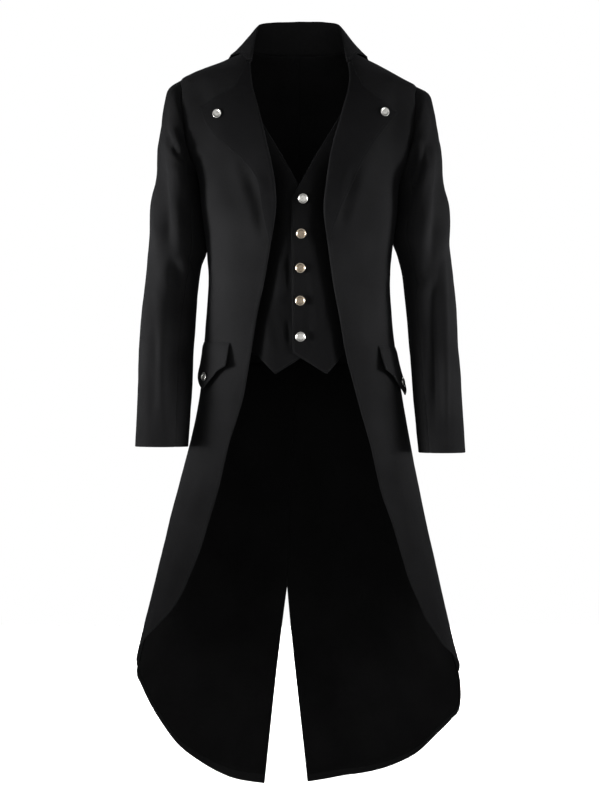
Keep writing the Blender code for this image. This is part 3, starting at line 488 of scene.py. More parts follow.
# Where the front's creases give way to the back's, and over which depth
CREASE_SIDE = 0.025
CREASE_SIDE_FADE = 0.03

# Unevenness of soft cloth: wave length, height, and how much longer its waves are up than across
UNEVEN = (
    ("wave", "height", "stretch", "seed"),
    (0.120, 0.0007, 2.6, 3),
    (0.052, 0.00035, 2.0, 5),
    (0.021, 0.00012, 1.4, 8),
)
UNEVEN_WAVES = 7
UNEVEN_RANGE = (0.6, 1.5)

# Seams, which dip over their last cells, and the roundness of a rim
SEAM_DIP = 0.0006
SEAM_DIP_SHARES = (1.0, 0.45)
RIM_ROUND = 0.38

# Sleeve: the roll of its head, and the shares of its length over which its creases begin and its
# form leaves the armhole's
HEAD_ROLL = 0.0026
HEAD_ROLL_AT = 0.045
HEAD_ROLL_WIDTH = 0.035
SEAM_BLEND = 0.06
SEAM_SETTLE = 0.07
SLEEVE_FRONT_BLEND = 0.014
# Sleeve: its fullness on the inner side, where it rests on the body
REST_FULLNESS = 0.0038
REST_INWARD = 0.2
REST_TOP = -0.150
REST_FADE = 0.030
REST_FOOT = {"left": -0.290, "right": -0.318}

# Waistcoat: its hollow beside the front edge, and its unevenness where it lies free
VEST_RECESS = 0.0110
VEST_RECESS_PAST = 1.0
VEST_RECESS_WIDTH = 8.0
VEST_RECESS_TOP = -0.150
VEST_RECESS_FADE = 0.080
VEST_FREE_UNEVENNESS = 0.5

# Lining: how far above the vent it begins to draw in
VENT_ALLOWANCE = 0.03

# Collar: how many cells of its roll have the dark of its neck side
COLLAR_DARK_ROLL = 6

# Lapel: its foot, which is let into the front, its stand over the chest and its roll's finer cells
LAPEL_FOOT_SHARE = 0.16
LAPEL_FOOT_LIFT = 0.0021
LAPEL_FOOT_STEP = 0.0006
LAPEL_FOOT_ROLL = 0.3
LAPEL_STAND = 0.0030
LAPEL_STAND_AT = 0.28
LAPEL_STAND_WIDTH = 0.16
LAPEL_STAND_FLARE = 3
ROLL_FINE = 3

# Flap: its front edge gapes, and its top is let into the cloth under it
FLAP_GAPE = 0.0062
FLAP_GAPE_WIDTH = 0.22
FLAP_GAPE_RISE = 0.8
FLAP_TOP_SINK = 0.0017
FLAP_TOP_SINK_SHARE = 0.09

# Stitches, one thread through the cloth: corners as places along, beside and above the line
STITCH_PITCH = 0.0032
STITCH_INSET = 0.0055
VEST_INSET = 0.0035
STITCH_CORNERS = (
    ("along", "beside", "above"),
    (-0.00125, 0.0000, -0.0003),
    (0.00125, 0.0000, -0.0003),
    (0.0000, -0.00030, 0.0000),
    (0.0000, 0.00030, 0.0000),
    (0.0000, 0.0000, 0.00030),
    (0.0000, 0.0000, -0.00035),
)
STITCH_FACES = ((0, 2, 4), (2, 1, 4), (1, 3, 4), (3, 0, 4), (2, 0, 5), (1, 2, 5), (3, 1, 5), (0, 3, 5))

# Least share of its rectangle that a cut piece fills, and a length that counts as none
NO_LENGTH = 1e-6

# Weave: periods of its twill and its threads, and the radians through which the pattern of parallel
# bands turns per metre at a scale of one
TWILL_PERIOD = 0.0013
THREAD_PERIOD = 0.0006
BAND_TURNS = {"DIAGONAL": 10, "X": 20}
SHEEN_ROUGHNESS = 0.45
SHEEN_TINT = (0.85, 0.87, 0.92, 1.0)
MOTTLE = 0.22
ROUGHNESS_SPREAD = 0.06
# Noises: scale and detail
NOISES = {"fuzz": (1400.0, 3.0), "cloud": (11.0, 4.0), "slub": (260.0, 2.0),
          "spots": (420.0, 4.0), "grain": (2600.0, 3.0), "twist": (3200.0, 2.0)}
# Shares of the threads and the fuzz in the cloth's relief, and of slubs and twill in its shade
THREAD_SHARE = 0.4
FUZZ_SHARE = 0.7
SLUB_SHARE = 0.5
TWILL_SHARE = 0.18
# Ranges that are read from the noises
SHADE_RANGE = (0.5, 1.0)
CLOUD_RANGE = (0.3, 0.7)
DULL_RANGE = (0.35, 0.72)
SPOT_RANGE = (0.3, 0.75)
# Strength and depth in metres of the relief
WEAVE_DEPTH = 0.0003
GRAIN_RELIEF = (0.18, 0.0002)
TWIST_RELIEF = (0.25, 0.0001)
# Cloths: name, colour, roughness, sheen and relief
CLOTHS = (
    ("coat_cloth", (0.0084, 0.0084, 0.0087), 0.72, 0.02, 0.35),
    # lapel_cloth: the coat cloth made darker, as painted shade of the lapels
    ("lapel_cloth", (0.0062, 0.0062, 0.0065), 0.68, 0.02, 0.35),
    ("coat_inside", (0.0085, 0.0085, 0.0087), 0.80, 0.0, 0.12),
    # waistcoat_cloth: black wool made darker than the coat cloth, as painted shade between the fronts
    ("waistcoat_cloth", (0.0050, 0.0050, 0.0052), 0.72, 0.02, 0.30),
    # lining_cloth: black satin made darker than the coat cloth, as painted shade inside the tails
    ("lining_cloth", (0.0056, 0.0056, 0.0057), 0.75, 0.0, 0.10),
)
THREAD_COLOUR = (0.0085, 0.0085, 0.0090)
THREAD_ROUGHNESS = 0.5
THREAD_ROUGHNESS_RANGE = (0.42, 0.60)
THREAD_SPECULAR = 0.2
# Metals: name, colour, colour of the dull spots and roughness, which varies by these
METAL_SMOOTHER = 0.08
METAL_ROUGHER = 0.14
METALS = (
    ("silver_rim", (0.78, 0.77, 0.74), (0.50, 0.49, 0.46), 0.26),
    ("silver_face", (0.66, 0.65, 0.62), (0.40, 0.39, 0.36), 0.34),
    ("bronze_rim", (0.80, 0.71, 0.58), (0.46, 0.38, 0.27), 0.26),
    ("bronze_face", (0.34, 0.28, 0.21), (0.20, 0.155, 0.11), 0.40),
)

# Studio: the floor, the camera, and a ceiling that dims between two heights of the line of sight
FLOOR = -1.42
FLOOR_REACH = 4.2
FLOOR_COLOUR = (0.90, 0.90, 0.90)
FLOOR_ROUGHNESS = 0.9
CAMERA_PLACE = (0.0017, -3.5, -0.5746)
CAMERA_LENS = 92.65
CAMERA_SENSOR = 36.0
CEILING_FROM = 0.20
CEILING_TO = 0.66
CEILING_LIGHT = 0.08
# Lights: name, place, what each faces, size, spread in degrees and power in watts
LIGHTS = (
    ("key", (-1.9, -0.44, -0.46), (0.0, -0.03, -0.35), (0.9, 0.5), 23, 4.7),
    ("fill", (1.9, -0.44, -0.46), (0.0, -0.03, -0.35), (0.9, 0.5), 23, 2.8),
    ("low_right", (-1.8, -0.8, -0.86), (0.0, -0.02, -0.78), (0.8, 0.4), 23, 0.8),
    ("low_left", (1.8, -0.8, -0.86), (0.0, -0.02, -0.78), (0.8, 0.4), 23, 0.8),
    ("rear_right", (-1.6, 1.9, 0.2), (0.0, 0.0, -0.50), (0.8, 1.2), 90, 1.0),
    ("rear_left", (1.6, 1.9, 0.2), (0.0, 0.0, -0.50), (0.8, 1.2), 90, 1.0),
    ("floor_light", (0.0, 3.2, 2.6), (0.0, 2.6, -1.42), (2.0, 2.0), 75, 120.0),
)


def column(table, name):
    """Values of a table's named column."""
    place = table[0].index(name)
    return np.array([row[place] for row in table[1:]], float)


def straight_column(table, name, at):
    """Read a named column of a table at any value of its first one, in straight steps."""
    return np.interp(at, column(table, table[0][0]), column(table, name))


def curve_between(start, end, leave, arrive, share):
    """Smooth curve from one place to the next, with the given slopes at its ends."""
    rest = 1 - share
    ends = start * rest ** 2 * (1 + 2 * share) + end * share ** 2 * (3 - 2 * share)
    return ends + leave * share * rest ** 2 - arrive * share ** 2 * rest


def smooth_column(table, name, at):
    """Read a named column of a table at any value of its first one, with no corner at the rows."""
    key = column(table, table[0][0])
    order = np.argsort(key)
    key = key[order]
    value = column(table, name)[order]
    step = np.diff(key)
    rise = np.diff(value) / step
    slope = np.empty_like(value)
    slope[0] = rise[0]
    slope[-1] = rise[-1]
    slope[1:-1] = (step[1:] * rise[:-1] + step[:-1] * rise[1:]) / (step[1:] + step[:-1])
    at = np.clip(np.asarray(at, float), key[0], key[-1])
    cell = np.clip(np.searchsorted(key, at) - 1, 0, len(step) - 1)
    run = step[cell]
    share = (at - key[cell]) / run
    return curve_between(value[cell], value[cell + 1], run * slope[cell], run * slope[cell + 1], share)


def ease(share):
    """Rise softly from 0 to 1."""
    share = np.clip(share, 0.0, 1.0)
    return share * share * (3 - 2 * share)


def unit(vectors):
    """Scale vectors to length one."""
    return vectors / np.linalg.norm(vectors, axis=-1, keepdims=True)


def fold_lift(folds, angle, along):
    """Height of the folds of a table over the plain form, which fade out at both of their ends."""
    lift = np.zeros(np.broadcast(angle, along).shape)
    for top_angle, top, foot_angle, foot, width, depth in folds[1:]:
        share = (along - foot) / (top - foot)
        middle = foot_angle + (top_angle - foot_angle) * share
        fade = ease(share / FOLD_FADE) * ease((1 - share) / FOLD_FADE)
        across = (angle - middle + 180) % 360 - 180
        lift = lift + depth * fade * np.exp(-(across / width) ** 2)
    return lift


def trunk_form(angle, height):
    """Point of the trunk form, with its folds and no lift."""
    turn = np.radians(angle)
    sizes = (smooth_column(TRUNK, name, height) for name in TRUNK[0][1:])
    half_width, front, back, sway, fullness = sizes
    depth = np.where(np.cos(turn) > 0, front, back)
    across = np.abs(np.sin(turn)) / half_width
    away = np.abs(np.cos(turn)) / depth
    radius = (across ** fullness + away ** fullness) ** (-1 / fullness)
    radius = radius + fold_lift(TRUNK_FOLDS, angle, height)
    x = sway + radius * np.sin(turn)
    y = -radius * np.cos(turn)
    return np.stack([x, y, np.broadcast_to(height, x.shape)], axis=-1)


def trunk_point(angle, height, lift=0.0):
    """Point at a lift over the trunk form, and the form's outward direction there."""
    angle, height, lift = np.broadcast_arrays(angle, height, lift)
    angle = angle.astype(float)
    height = height.astype(float)
    around = trunk_form(angle + TURN_STEP, height) - trunk_form(angle - TURN_STEP, height)
    upward = trunk_form(angle, height + RISE_STEP) - trunk_form(angle, height - RISE_STEP)
    outward = unit(np.cross(around, upward))
    return trunk_form(angle, height) + outward * lift[..., None], outward


def hang(points):
    """Let the wearer's left side down a little."""
    hung = np.array(points, float)
    hung[..., 2] -= LEFT_DROP * ease((hung[..., 0] - DROP_FROM) / (DROP_TO - DROP_FROM))
    return hung


def blend_patch(foot, head, first, last):
    """Fill a four-sided patch from its edges: foot and head run across, first and last run up."""
    rows, columns = len(first), len(foot)
    up = np.linspace(0, 1, rows)[:, None, None]
    over = np.linspace(0, 1, columns)[None, :, None]
    between_sides = first[:, None] * (1 - over) + last[:, None] * over
    between_ends = foot[None] * (1 - up) + head[None] * up
    low = foot[0] * (1 - over) + foot[-1] * over
    high = head[0] * (1 - over) + head[-1] * over
    return between_sides + between_ends - (low * (1 - up) + high * up)


def rows_from(grid, side):
    """View of a grid of points whose first row is the grid's named side."""
    rows = grid if side in ("foot", "head") else grid.swapaxes(0, 1)
    return rows if side in ("foot", "first") else rows[::-1]


def trim(points, sides):
    """Draw the named sides of a grid of points in by half a seam gap."""
    cut = np.array(points)
    for side in sides:
        rows = rows_from(cut, side)
        rows[0] += unit(rows[1] - rows[0]) * SEAM_GAP / 2
    return cut


def grid_normals(points):
    """Direction square to a grid of points, at each of them."""
    up = np.gradient(points, axis=0)
    over = np.gradient(points, axis=1)
    return unit(np.cross(over, up))


def edge_of(angle, height):
    """Points of an edge on the trunk form, as angles and heights."""
    return np.stack(np.broadcast_arrays(angle, height), axis=-1)


def along_heights(table, heights, name="angle"):
    """Angle and height of an edge that a table gives by height."""
    return edge_of(smooth_column(table, name, heights), heights)


def crowded(start, end, steps, power):
    """Values from start to end, closer together near the start."""
    return start + (end - start) * np.linspace(0, 1, steps + 1) ** power


def armhole_angles():
    """Turn about the armhole, from the armpit up to the shoulder."""
    return np.linspace(180.0, 0.0, ROWS_AT_ARMHOLE + 1)


def armhole_edge(turns):
    """Angle and height of the armhole on the trunk form; turns are 0 at the shoulder, + to the front."""
    turn = np.radians(turns)
    angle = SHOULDER_ANGLE - ARMHOLE_SPREAD * np.sin(turn)
    return edge_of(angle, ARMHOLE_CENTRE + ARMHOLE_RADIUS * np.cos(turn))


def side_and_armhole(facing):
    """Side seam and then the armhole's front or back half, from the hem to the shoulder."""
    foot, *_, head = column(SIDE_SEAM, "height")
    heights = crowded(foot, head, ROWS_BELOW_ARMHOLE, ROW_CROWDING)
    seam = along_heights(SIDE_SEAM, heights)
    armhole = armhole_edge(facing * armhole_angles())
    return np.concatenate([seam[:-1], armhole])


def shoulder_seam():
    """Seam from the neck to the tip of the shoulder."""
    tip = armhole_edge(0.0)[1]
    return edge_of(SHOULDER_ANGLE, np.linspace(NECK_HEIGHT, tip, FRONT_COLUMNS + 1))


def front_heights():
    """Heights of the rows of a front at its edge, from the hem to the neck."""
    foot = column(FRONT_EDGE, "height")[0]
    lower = crowded(foot, CHEST_HEIGHT, ROWS_BELOW_ARMHOLE, ROW_CROWDING)
    rise = np.sin(np.linspace(0, math.pi / 2, ROWS_AT_ARMHOLE + 1))
    return np.concatenate([lower[:-1], CHEST_HEIGHT + (NECK_HEIGHT - CHEST_HEIGHT) * rise])


def front_patch(word):
    """Angles and heights of a front, as on the wearer's left."""
    edge = along_heights(FRONT_EDGE, front_heights(), word + "_angle")
    first, *_, last = column(FRONT_HEM, "height")
    hem_heights = np.linspace(first, last, FRONT_COLUMNS + 1)
    hem = along_heights(FRONT_HEM, hem_heights, word + "_angle")
    return blend_patch(hem, shoulder_seam(), edge, side_and_armhole(1))


def back_edge(side, heights):
    """Angle and height of the centre back seam and, below it, of one edge of the vent."""
    open_share = np.clip((VENT_TOP - heights) / (VENT_TOP - VENT_FOOT), 0, 1)
    across = smooth_column(CENTRE_BACK, "across", heights) + side * VENT_HALF_WIDTH * open_share
    sway = smooth_column(TRUNK, "sway", heights)
    depth = smooth_column(TRUNK, "back", heights)
    return edge_of(BACK_ANGLE - side * np.degrees(np.arctan2(across - sway, depth)), heights)


def back_patch(word):
    """Angles and heights of one back with its tail, as on the wearer's left."""
    lower = np.linspace(VENT_FOOT, CHEST_HEIGHT, ROWS_BELOW_ARMHOLE + 1)
    upper = np.linspace(CHEST_HEIGHT, NECK_HEIGHT, ROWS_AT_ARMHOLE + 1)
    edge = back_edge(SIDES[word], np.concatenate([lower[:-1], upper]))
    columns = BACK_NECK_COLUMNS + FRONT_COLUMNS
    hem_angles = np.linspace(edge[0, 0], column(SIDE_SEAM, "angle")[0], columns + 1)
    hem = edge_of(hem_angles, smooth_column(TAIL_HEM, word + "_height", hem_angles))
    edge[0] = hem[0]
    neck = edge_of(np.linspace(edge[-1, 0], SHOULDER_ANGLE, BACK_NECK_COLUMNS + 1), NECK_HEIGHT)
    head = np.concatenate([neck[:-1], shoulder_seam()])
    return blend_patch(hem, head, edge, side_and_armhole(-1))


def sleeve_rings(word):
    """Inside of a sleeve, as on the wearer's left: points and outward directions, row by row."""
    side = SIDES[word]
    steps = 2 * ROWS_AT_ARMHOLE
    turns = np.arange(steps) * 360.0 / steps
    turn = np.radians(turns)
    seam = armhole_edge(turns)
    start, outward = trunk_point(side * seam[:, 0], seam[:, 1])
    start = start * (side, 1, 1)
    outward = outward * (side, 1, 1)
    top = (1 + np.cos(turn)) / 2
    leave_out = SHOULDER_LEAVES[0] * top + ARMPIT_LEAVES[0] * (1 - top)
    leave_down = SHOULDER_LEAVES[1] * top + ARMPIT_LEAVES[1] * (1 - top)
    leave = unit(np.stack([leave_out, -CAP_SPREAD * np.sin(turn), -leave_down], axis=-1))
    lift = SHOULDER_LIFT * top + ARMPIT_LIFT * (1 - top)
    start = start + outward * lift[:, None] + leave * SEAM_GAP
    first, *_, last = column(ARM, "height")
    rings = []
    for height in np.linspace(first, last, ARM_ROWS + 1):
        names = ("inner_" + word, "outer_" + word, "front", "back")
        inner, outer, front, back = (smooth_column(ARM, name, height) for name in names)
        x = (inner + outer) / 2 + (outer - inner) / 2 * np.cos(turn)
        y = (front + back) / 2 - (back - front) / 2 * np.sin(turn)
        rings.append(np.stack([x, y, np.full_like(x, height)], axis=-1))
    arrive = unit(rings[1] - rings[0])
    reach = np.linalg.norm(rings[0] - start, axis=-1, keepdims=True)
    shares = np.linspace(0, 1, CAP_ROWS + 1)[:-1]
    cap = [curve_between(start, rings[0], reach * leave, reach * arrive, share) for share in shares]
    points = np.array(cap + rings)
    down = np.gradient(points, axis=0)
    around = np.roll(points, -1, axis=1) - np.roll(points, 1, axis=1)
    direction = unit(np.cross(around, down))
    row_share = np.linspace(0, 1, len(points))[:, None]
    lift = fold_lift(SLEEVE_FOLDS, turns[None, :], row_share)
    points = points + direction * lift[..., None]
    return points, direction


def neck_seam():
    """Angles and heights of the neck seam's points, from the centre back round to the lapel."""
    back = edge_of(np.linspace(BACK_ANGLE, SHOULDER_ANGLE, BACK_NECK_COLUMNS + 1), NECK_HEIGHT)
    heights = front_heights()[-2::-1]
    front_rows = heights[heights > COLLAR_END]
    front = along_heights(FRONT_EDGE, np.append(front_rows, COLLAR_END), "left_angle")
    return np.concatenate([back, front])


def collar_section(side, neck_angle, neck_height):
    """Points across the collar at one place: up the stand, round the roll and down the leaf."""
    values = [float(smooth_column(COLLAR, name, neck_angle)) for name in COLLAR[0][1:]]
    roll_x, roll_y, roll_z, leaf_angle, leaf_height = values
    neck, _ = trunk_point(side * neck_angle, neck_height)
    leaf, _ = trunk_point(side * leaf_angle, leaf_height, COLLAR_LIFT + CLOTH)
    roll = np.array([side * roll_x, roll_y, roll_z])
    rise = unit(roll - (neck + leaf) / 2)
    out = leaf - neck
    out = unit(out - rise * np.dot(out, rise))
    stand_top = roll - (out / 2 + rise * COLLAR_ROUND) * COLLAR_FOLD
    leaf_top = roll + (out / 2 - rise * COLLAR_ROUND) * COLLAR_FOLD
    foot = neck + unit(stand_top - neck) * COLLAR_FOOT_GAP
    section = [foot + (stand_top - foot) * part for part in COLLAR_STAND_SHARES]
    section += [stand_top, roll, leaf_top]
    section += [leaf_top + (leaf - leaf_top) * part for part in COLLAR_LEAF_SHARES]
    return section


def lapel_points(word):
    """Face of a lapel: out of the front edge, round the roll and over the front."""
    side = SIDES[word]
    heights = front_heights()
    foot = column(LAPEL, word + "_height")[0] - LAPEL_ROW_GAP
    head = column(LAPEL_HEAD, "height")[0]
    heights = np.append(heights[(heights > foot) & (heights < head - LAPEL_ROW_GAP)], head)
    roll = along_heights(FRONT_EDGE, heights, word + "_angle")
    shares = np.linspace(0, 1, len(heights))
    edge = edge_of(*(smooth_column(LAPEL, word + name, shares) for name in ("_angle", "_height")))
    over = np.linspace(0, 1, LAPEL_STEPS_OVER + 1)
    top = edge_of(*(straight_column(LAPEL_HEAD, name, over) for name in ("angle", "height")))
    top[0] = roll[-1]
    top[-1] = edge[-1]
    low = roll[0] + (edge[0] - roll[0]) * over[:, None]
    patch = blend_patch(low, top, roll, edge)
    lift = LAPEL_ROLL_LIFT + (LAPEL_EDGE_LIFT - LAPEL_ROLL_LIFT) * over[None, :]
    stand = np.exp(-((shares - LAPEL_STAND_AT) / LAPEL_STAND_WIDTH) ** 2)
    lift = lift + LAPEL_STAND * stand[:, None] * over[None, :] ** LAPEL_STAND_FLARE
    off = ease(shares / LAPEL_FOOT_SHARE)
    lift = LAPEL_FOOT_LIFT + (lift - LAPEL_FOOT_LIFT) * off[:, None]
    face, _ = body_point(side * patch[..., 0], patch[..., 1], lift)
    edge_points, outward = body_point(side * roll[:, 0], roll[:, 1])
    along = unit(np.gradient(edge_points, axis=0))
    centre = unit(np.cross(outward, along)) * side
    bend = []
    for place, (toward, rise) in enumerate(ROLL_SECTION[1:]):
        low = LAPEL_FOOT_LIFT - LAPEL_FOOT_STEP * (len(ROLL_SECTION) - 1 - place)
        rise = low + (rise - low) * off[:, None]
        toward = toward * (LAPEL_FOOT_ROLL + (1 - LAPEL_FOOT_ROLL) * off[:, None])
        bend.append(edge_points + centre * (toward + SEAM_GAP) + outward * rise)
    return np.concatenate([np.array(bend).transpose(1, 0, 2), face], axis=1)


def vest_patch(side):
    """Angles and heights of one waistcoat front; the wearer's left laps over the right."""
    lap = -VEST_OVERLAP_ANGLE if side > 0 else -VEST_UNDERLAP_ANGLE
    point, *_, neck = column(VEST_NECK, "height")
    low = np.linspace(VEST_HEM_HEIGHT, point, VEST_ROWS_TO_V + 1)
    opening = along_heights(VEST_NECK, np.linspace(point, neck, VEST_ROWS_ABOVE_V + 1))
    opening[0, 0] = lap
    edge = np.concatenate([edge_of(lap, low)[:-1], opening])
    foot, *_, head = column(VEST_SEAM, "height")
    seam_heights = np.linspace(foot, head, len(edge))
    seam = along_heights(VEST_SEAM, seam_heights)
    shares = np.linspace(0, 1, VEST_COLUMNS + 1)
    hem_angle = straight_column(VEST_HEM, "angle", shares) + lap * (1 - shares) ** VEST_LAP_FADE
    hem = edge_of(hem_angle, straight_column(VEST_HEM, "height", shares))
    top = edge[-1] + (seam[-1] - edge[-1]) * shares[:, None]
    return blend_patch(hem, top, edge, seam)


def vest_lift(side, columns):
    """The waistcoat lies free at its edge and comes up to the front at its seam."""
    share = np.linspace(0, 1, columns)
    free = np.full(columns, VEST_LIFT)
    if side < 0:
        start, end = VEST_UNDERLAP_SHARES
        free += (VEST_UNDERLAP - VEST_LIFT) * (1 - ease((share - start) / (end - start)))
    return free + (VEST_SEAM_LIFT - free) * ease((share - VEST_RISE_FROM) / (1 - VEST_RISE_FROM))


def flap_lift(share, down):
    """Lift of a flap, which is sewn at its top and stands off at its foot, most at its point."""
    point = np.exp(-((share - FLAP_POINT_SHARE) / FLAP_POINT_WIDTH) ** 2)
    foot = FLAP_FOOT_LIFT + FLAP_POINT_LIFT * point
    return FLAP_TOP_LIFT + (foot - FLAP_TOP_LIFT) * down ** FLAP_FLARE


def crease_line(row, mirror):
    """Points along one crease of a table, bent through its three places."""
    x0, z0, x1, z1, x2, z2 = row
    share = np.linspace(0, 1, CREASE_STEPS + 1)
    start, middle, end = (1 - share) ** 2, 2 * share * (1 - share), share ** 2
    x = mirror * (x0 * start + (2 * x1 - (x0 + x2) / 2) * middle + x2 * end)
    z = z0 * start + (2 * z1 - (z0 + z2) / 2) * middle + z2 * end
    return x, z


def nearest_on_line(x, z, line_x, line_z):
    """Distance of points from a line in straight steps, and the share of it at which they lie."""
    nearest = np.full(x.shape, FAR)
    along = np.zeros(x.shape)
    for step in range(CREASE_STEPS):
        run_x = line_x[step + 1] - line_x[step]
        run_z = line_z[step + 1] - line_z[step]
        part = (x - line_x[step]) * run_x + (z - line_z[step]) * run_z
        part = np.clip(part / (run_x ** 2 + run_z ** 2), 0, 1)
        away = np.hypot(x - line_x[step] - part * run_x, z - line_z[step] - part * run_z)
        closer = away < nearest
        nearest = np.where(closer, away, nearest)
        along = np.where(closer, (step + part) / CREASE_STEPS, along)
    return nearest, along


def crease_lift(points, creases, mirror=1):
    """Height of the creases of a table, each soft over its width and fading out at its ends."""
    x, z = points[..., 0], points[..., 2]
    lift = np.zeros(x.shape)
    for *places, width, depth in creases[1:]:
        line_x, line_z = crease_line(places, mirror)
        reach = CREASE_REACH * width
        near = (x > line_x.min() - reach) & (x < line_x.max() + reach)
        near &= (z > line_z.min() - reach) & (z < line_z.max() + reach)
        if not near.any():
            continue
        nearest, along = nearest_on_line(x[near], z[near], line_x, line_z)
        fade = ease(along / CREASE_FADE) * ease((1 - along) / CREASE_FADE)
        across = nearest / (width * (CREASE_TIP + (1 - CREASE_TIP) * np.sin(math.pi * along)))
        shoulder = np.exp(-((across - CREASE_SHOULDER_AT) / CREASE_SHOULDER_WIDTH) ** 2)
        lift[near] += depth * fade * (np.exp(-across ** 2) - CREASE_SHOULDER * shoulder)
    return lift


def uneven(points):
    """Slight unevenness of soft cloth."""
    lift = np.zeros(points.shape[:-1])
    for wave, height, stretch, seed in UNEVEN[1:]:
        draw = np.random.default_rng(seed)
        height = height / math.sqrt(UNEVEN_WAVES)
        for _ in range(UNEVEN_WAVES):
            way = unit(draw.normal(size=3)) * 2 * math.pi / wave * draw.uniform(*UNEVEN_RANGE)
            way[2] /= stretch
            lift += np.sin(points @ way + draw.uniform(0, 2 * math.pi)) * height
    return lift


def body_lift(points):
    """Creases and unevenness of the coat's body at points on its form."""
    front = ease((CREASE_SIDE - points[..., 1]) / CREASE_SIDE_FADE)
    creases = front * crease_lift(points, FRONT_CREASES) + (1 - front) * crease_lift(points, BACK_CREASES)
    return creases + uneven(points)


def body_point(angle, height, lift=0.0):
    """Point at a lift over the coat's body with its creases."""
    plain, outward = trunk_point(angle, height)
    lift = np.broadcast_to(lift, plain.shape[:-1])
    return plain + outward * (body_lift(plain) + lift)[..., None], outward


def dip_seams(points, normals, sides):
    """Let a piece down a little where it is sewn to the next."""
    dipped = np.array(points)
    for side in sides:
        rows, directions = rows_from(dipped, side), rows_from(normals, side)
        for step, share in enumerate(SEAM_DIP_SHARES):
            rows[step] -= directions[step] * SEAM_DIP * share
    return dipped


def run_lengths(points, axis):
    """Length along a grid of points, from its start."""
    steps = np.linalg.norm(np.diff(points, axis=axis), axis=-1)
    steps = np.insert(steps, 0, 0.0, axis=axis)
    return np.cumsum(steps, axis=axis)


def edge_line(grid, edge, inset):
    """Line along one edge of a grid of points, a little in from it and from its corners."""
    rows = rows_from(grid, edge)
    reach = run_lengths(rows[..., :3], 0)
    low = np.clip((reach <= inset).sum(axis=0) - 1, 0, len(rows) - 2)
    place = np.arange(rows.shape[1])
    share = (inset - reach[low, place]) / np.maximum(reach[low + 1, place] - reach[low, place], NO_LENGTH)
    share = np.clip(share, 0, 1)[:, None]
    line = rows[low, place] * (1 - share) + rows[low + 1, place] * share
    length = run_lengths(line[:, :3], 0)
    stops = np.arange(inset, length[-1] - inset, STITCH_PITCH)
    return np.stack([np.interp(stops, length, values) for values in line.T], axis=1)


def new_object(name, points, faces, materials=()):
    """Smooth mesh of points and faces as an object of the scene."""
    mesh = bpy.data.meshes.new(name)
    mesh.from_pydata(points, [], faces)
    mesh.shade_smooth()
    for material in materials:
        mesh.materials.append(material)
    thing = bpy.data.objects.new(name, mesh)
    bpy.context.scene.collection.objects.link(thing)
    return thing


def add_stitches(node, outer, inner, edges, inset):
    """Row of small stitches along each sewn edge of a piece, sunk into the cloth at their ends."""
    grid = np.concatenate([outer, unit(outer - inner)], axis=2)
    points, faces = [], []
    for edge in edges:
        line = edge_line(grid, edge, inset)
        for before, after in zip(line[:-1], line[1:]):
            seat, outward = (before[:3] + after[:3]) / 2, unit(before[3:])
            way = unit(after[:3] - before[:3])
            aside = np.cross(outward, way)
            start = len(points)
            for along, beside, above in STITCH_CORNERS[1:]:
                points.append(seat + way * along + aside * beside + outward * above)
            faces += [tuple(start + corner for corner in face) for face in STITCH_FACES]
    piece = new_object("stitches_" + node, points, faces, [bpy.data.materials["sewing_thread"]])
    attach(piece, "root")


def shell(outer, inner):
    """Thin shell between two grids: its points, its faces, how many are of each grid, and its rim."""
    rows, columns = outer.shape[:2]
    count = rows * columns
    index = np.arange(count).reshape(rows, columns)
    cells = [index[:-1, :-1], index[:-1, 1:], index[1:, 1:], index[1:, :-1]]
    cells = np.stack(cells, axis=-1).reshape(-1, 4)
    around = np.array([*index[0, :-1], *index[:-1, -1], *index[-1, :0:-1], *index[:0:-1, 0]])
    middle = (outer + inner) / 2
    away = np.zeros_like(outer)
    for side in ("foot", "head", "first", "last"):
        lines = rows_from(middle, side)
        rows_from(away, side)[0] += unit(lines[0] - lines[1])
    thickness = np.linalg.norm(outer - inner, axis=-1, keepdims=True)
    rim = (middle + away * thickness * RIM_ROUND).reshape(-1, 3)[around]
    points = np.concatenate([outer.reshape(-1, 3), inner.reshape(-1, 3), rim])
    rims = 2 * count + np.arange(len(around))
    following, next_rims = np.roll(around, -1), np.roll(rims, -1)
    bands = [np.stack([around, rims, next_rims, following], axis=-1),
             np.stack([rims, around + count, following + count, next_rims], axis=-1)]
    return points, np.concatenate([cells, cells[:, ::-1] + count, *bands]), len(cells), around


def turns_inward(outer, inner):
    """Whether the cells of the outer grid face the inner one."""
    corner = outer[:-1, :-1]
    facing = np.cross(outer[:-1, 1:] - corner, outer[1:, :-1] - corner)
    return np.sum((corner - inner[:-1, :-1]) * facing) < 0


def laid_flat(middle):
    """Place of each point of a piece when it is laid out flat, across and up."""
    across = run_lengths(middle, 1)
    across -= across[:, across.shape[1] // 2][:, None]
    up = run_lengths(middle, 0)
    return np.stack([across, up, np.zeros_like(up)], axis=-1)


def cloth(node, outer, inner, materials, slot, held, rests_on,
          dark_columns=0, sewn=(), inset=STITCH_INSET):
    """Piece of cloth between two grids, with a rounded rim, laid out flat for its weave."""
    outer, inner = hang(outer), hang(inner)
    points, faces, cells, around = shell(outer, inner)
    piece = new_object("cloth_" + node, points.tolist(), faces.tolist(), materials)
    mesh = piece.data
    if turns_inward(outer, inner):
        mesh.flip_normals()
    kinds = np.zeros(len(faces), int)
    kinds[cells:2 * cells] = 1
    kinds[:cells] = faces[:cells, 0] % outer.shape[1] < dark_columns
    mesh.polygons.foreach_set("material_index", kinds)
    middle = (outer + inner) / 2
    flat = laid_flat(middle)
    places = flat.reshape(-1, 3)
    layout = mesh.attributes.new("flat", "FLOAT_VECTOR", "POINT")
    layout.data.foreach_set("vector", np.concatenate([places, places, places[around]]).ravel())
    mesh.update()
    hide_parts(node)
    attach(piece, "root")
    if sewn:
        add_stitches(node, outer, inner, sewn, inset)


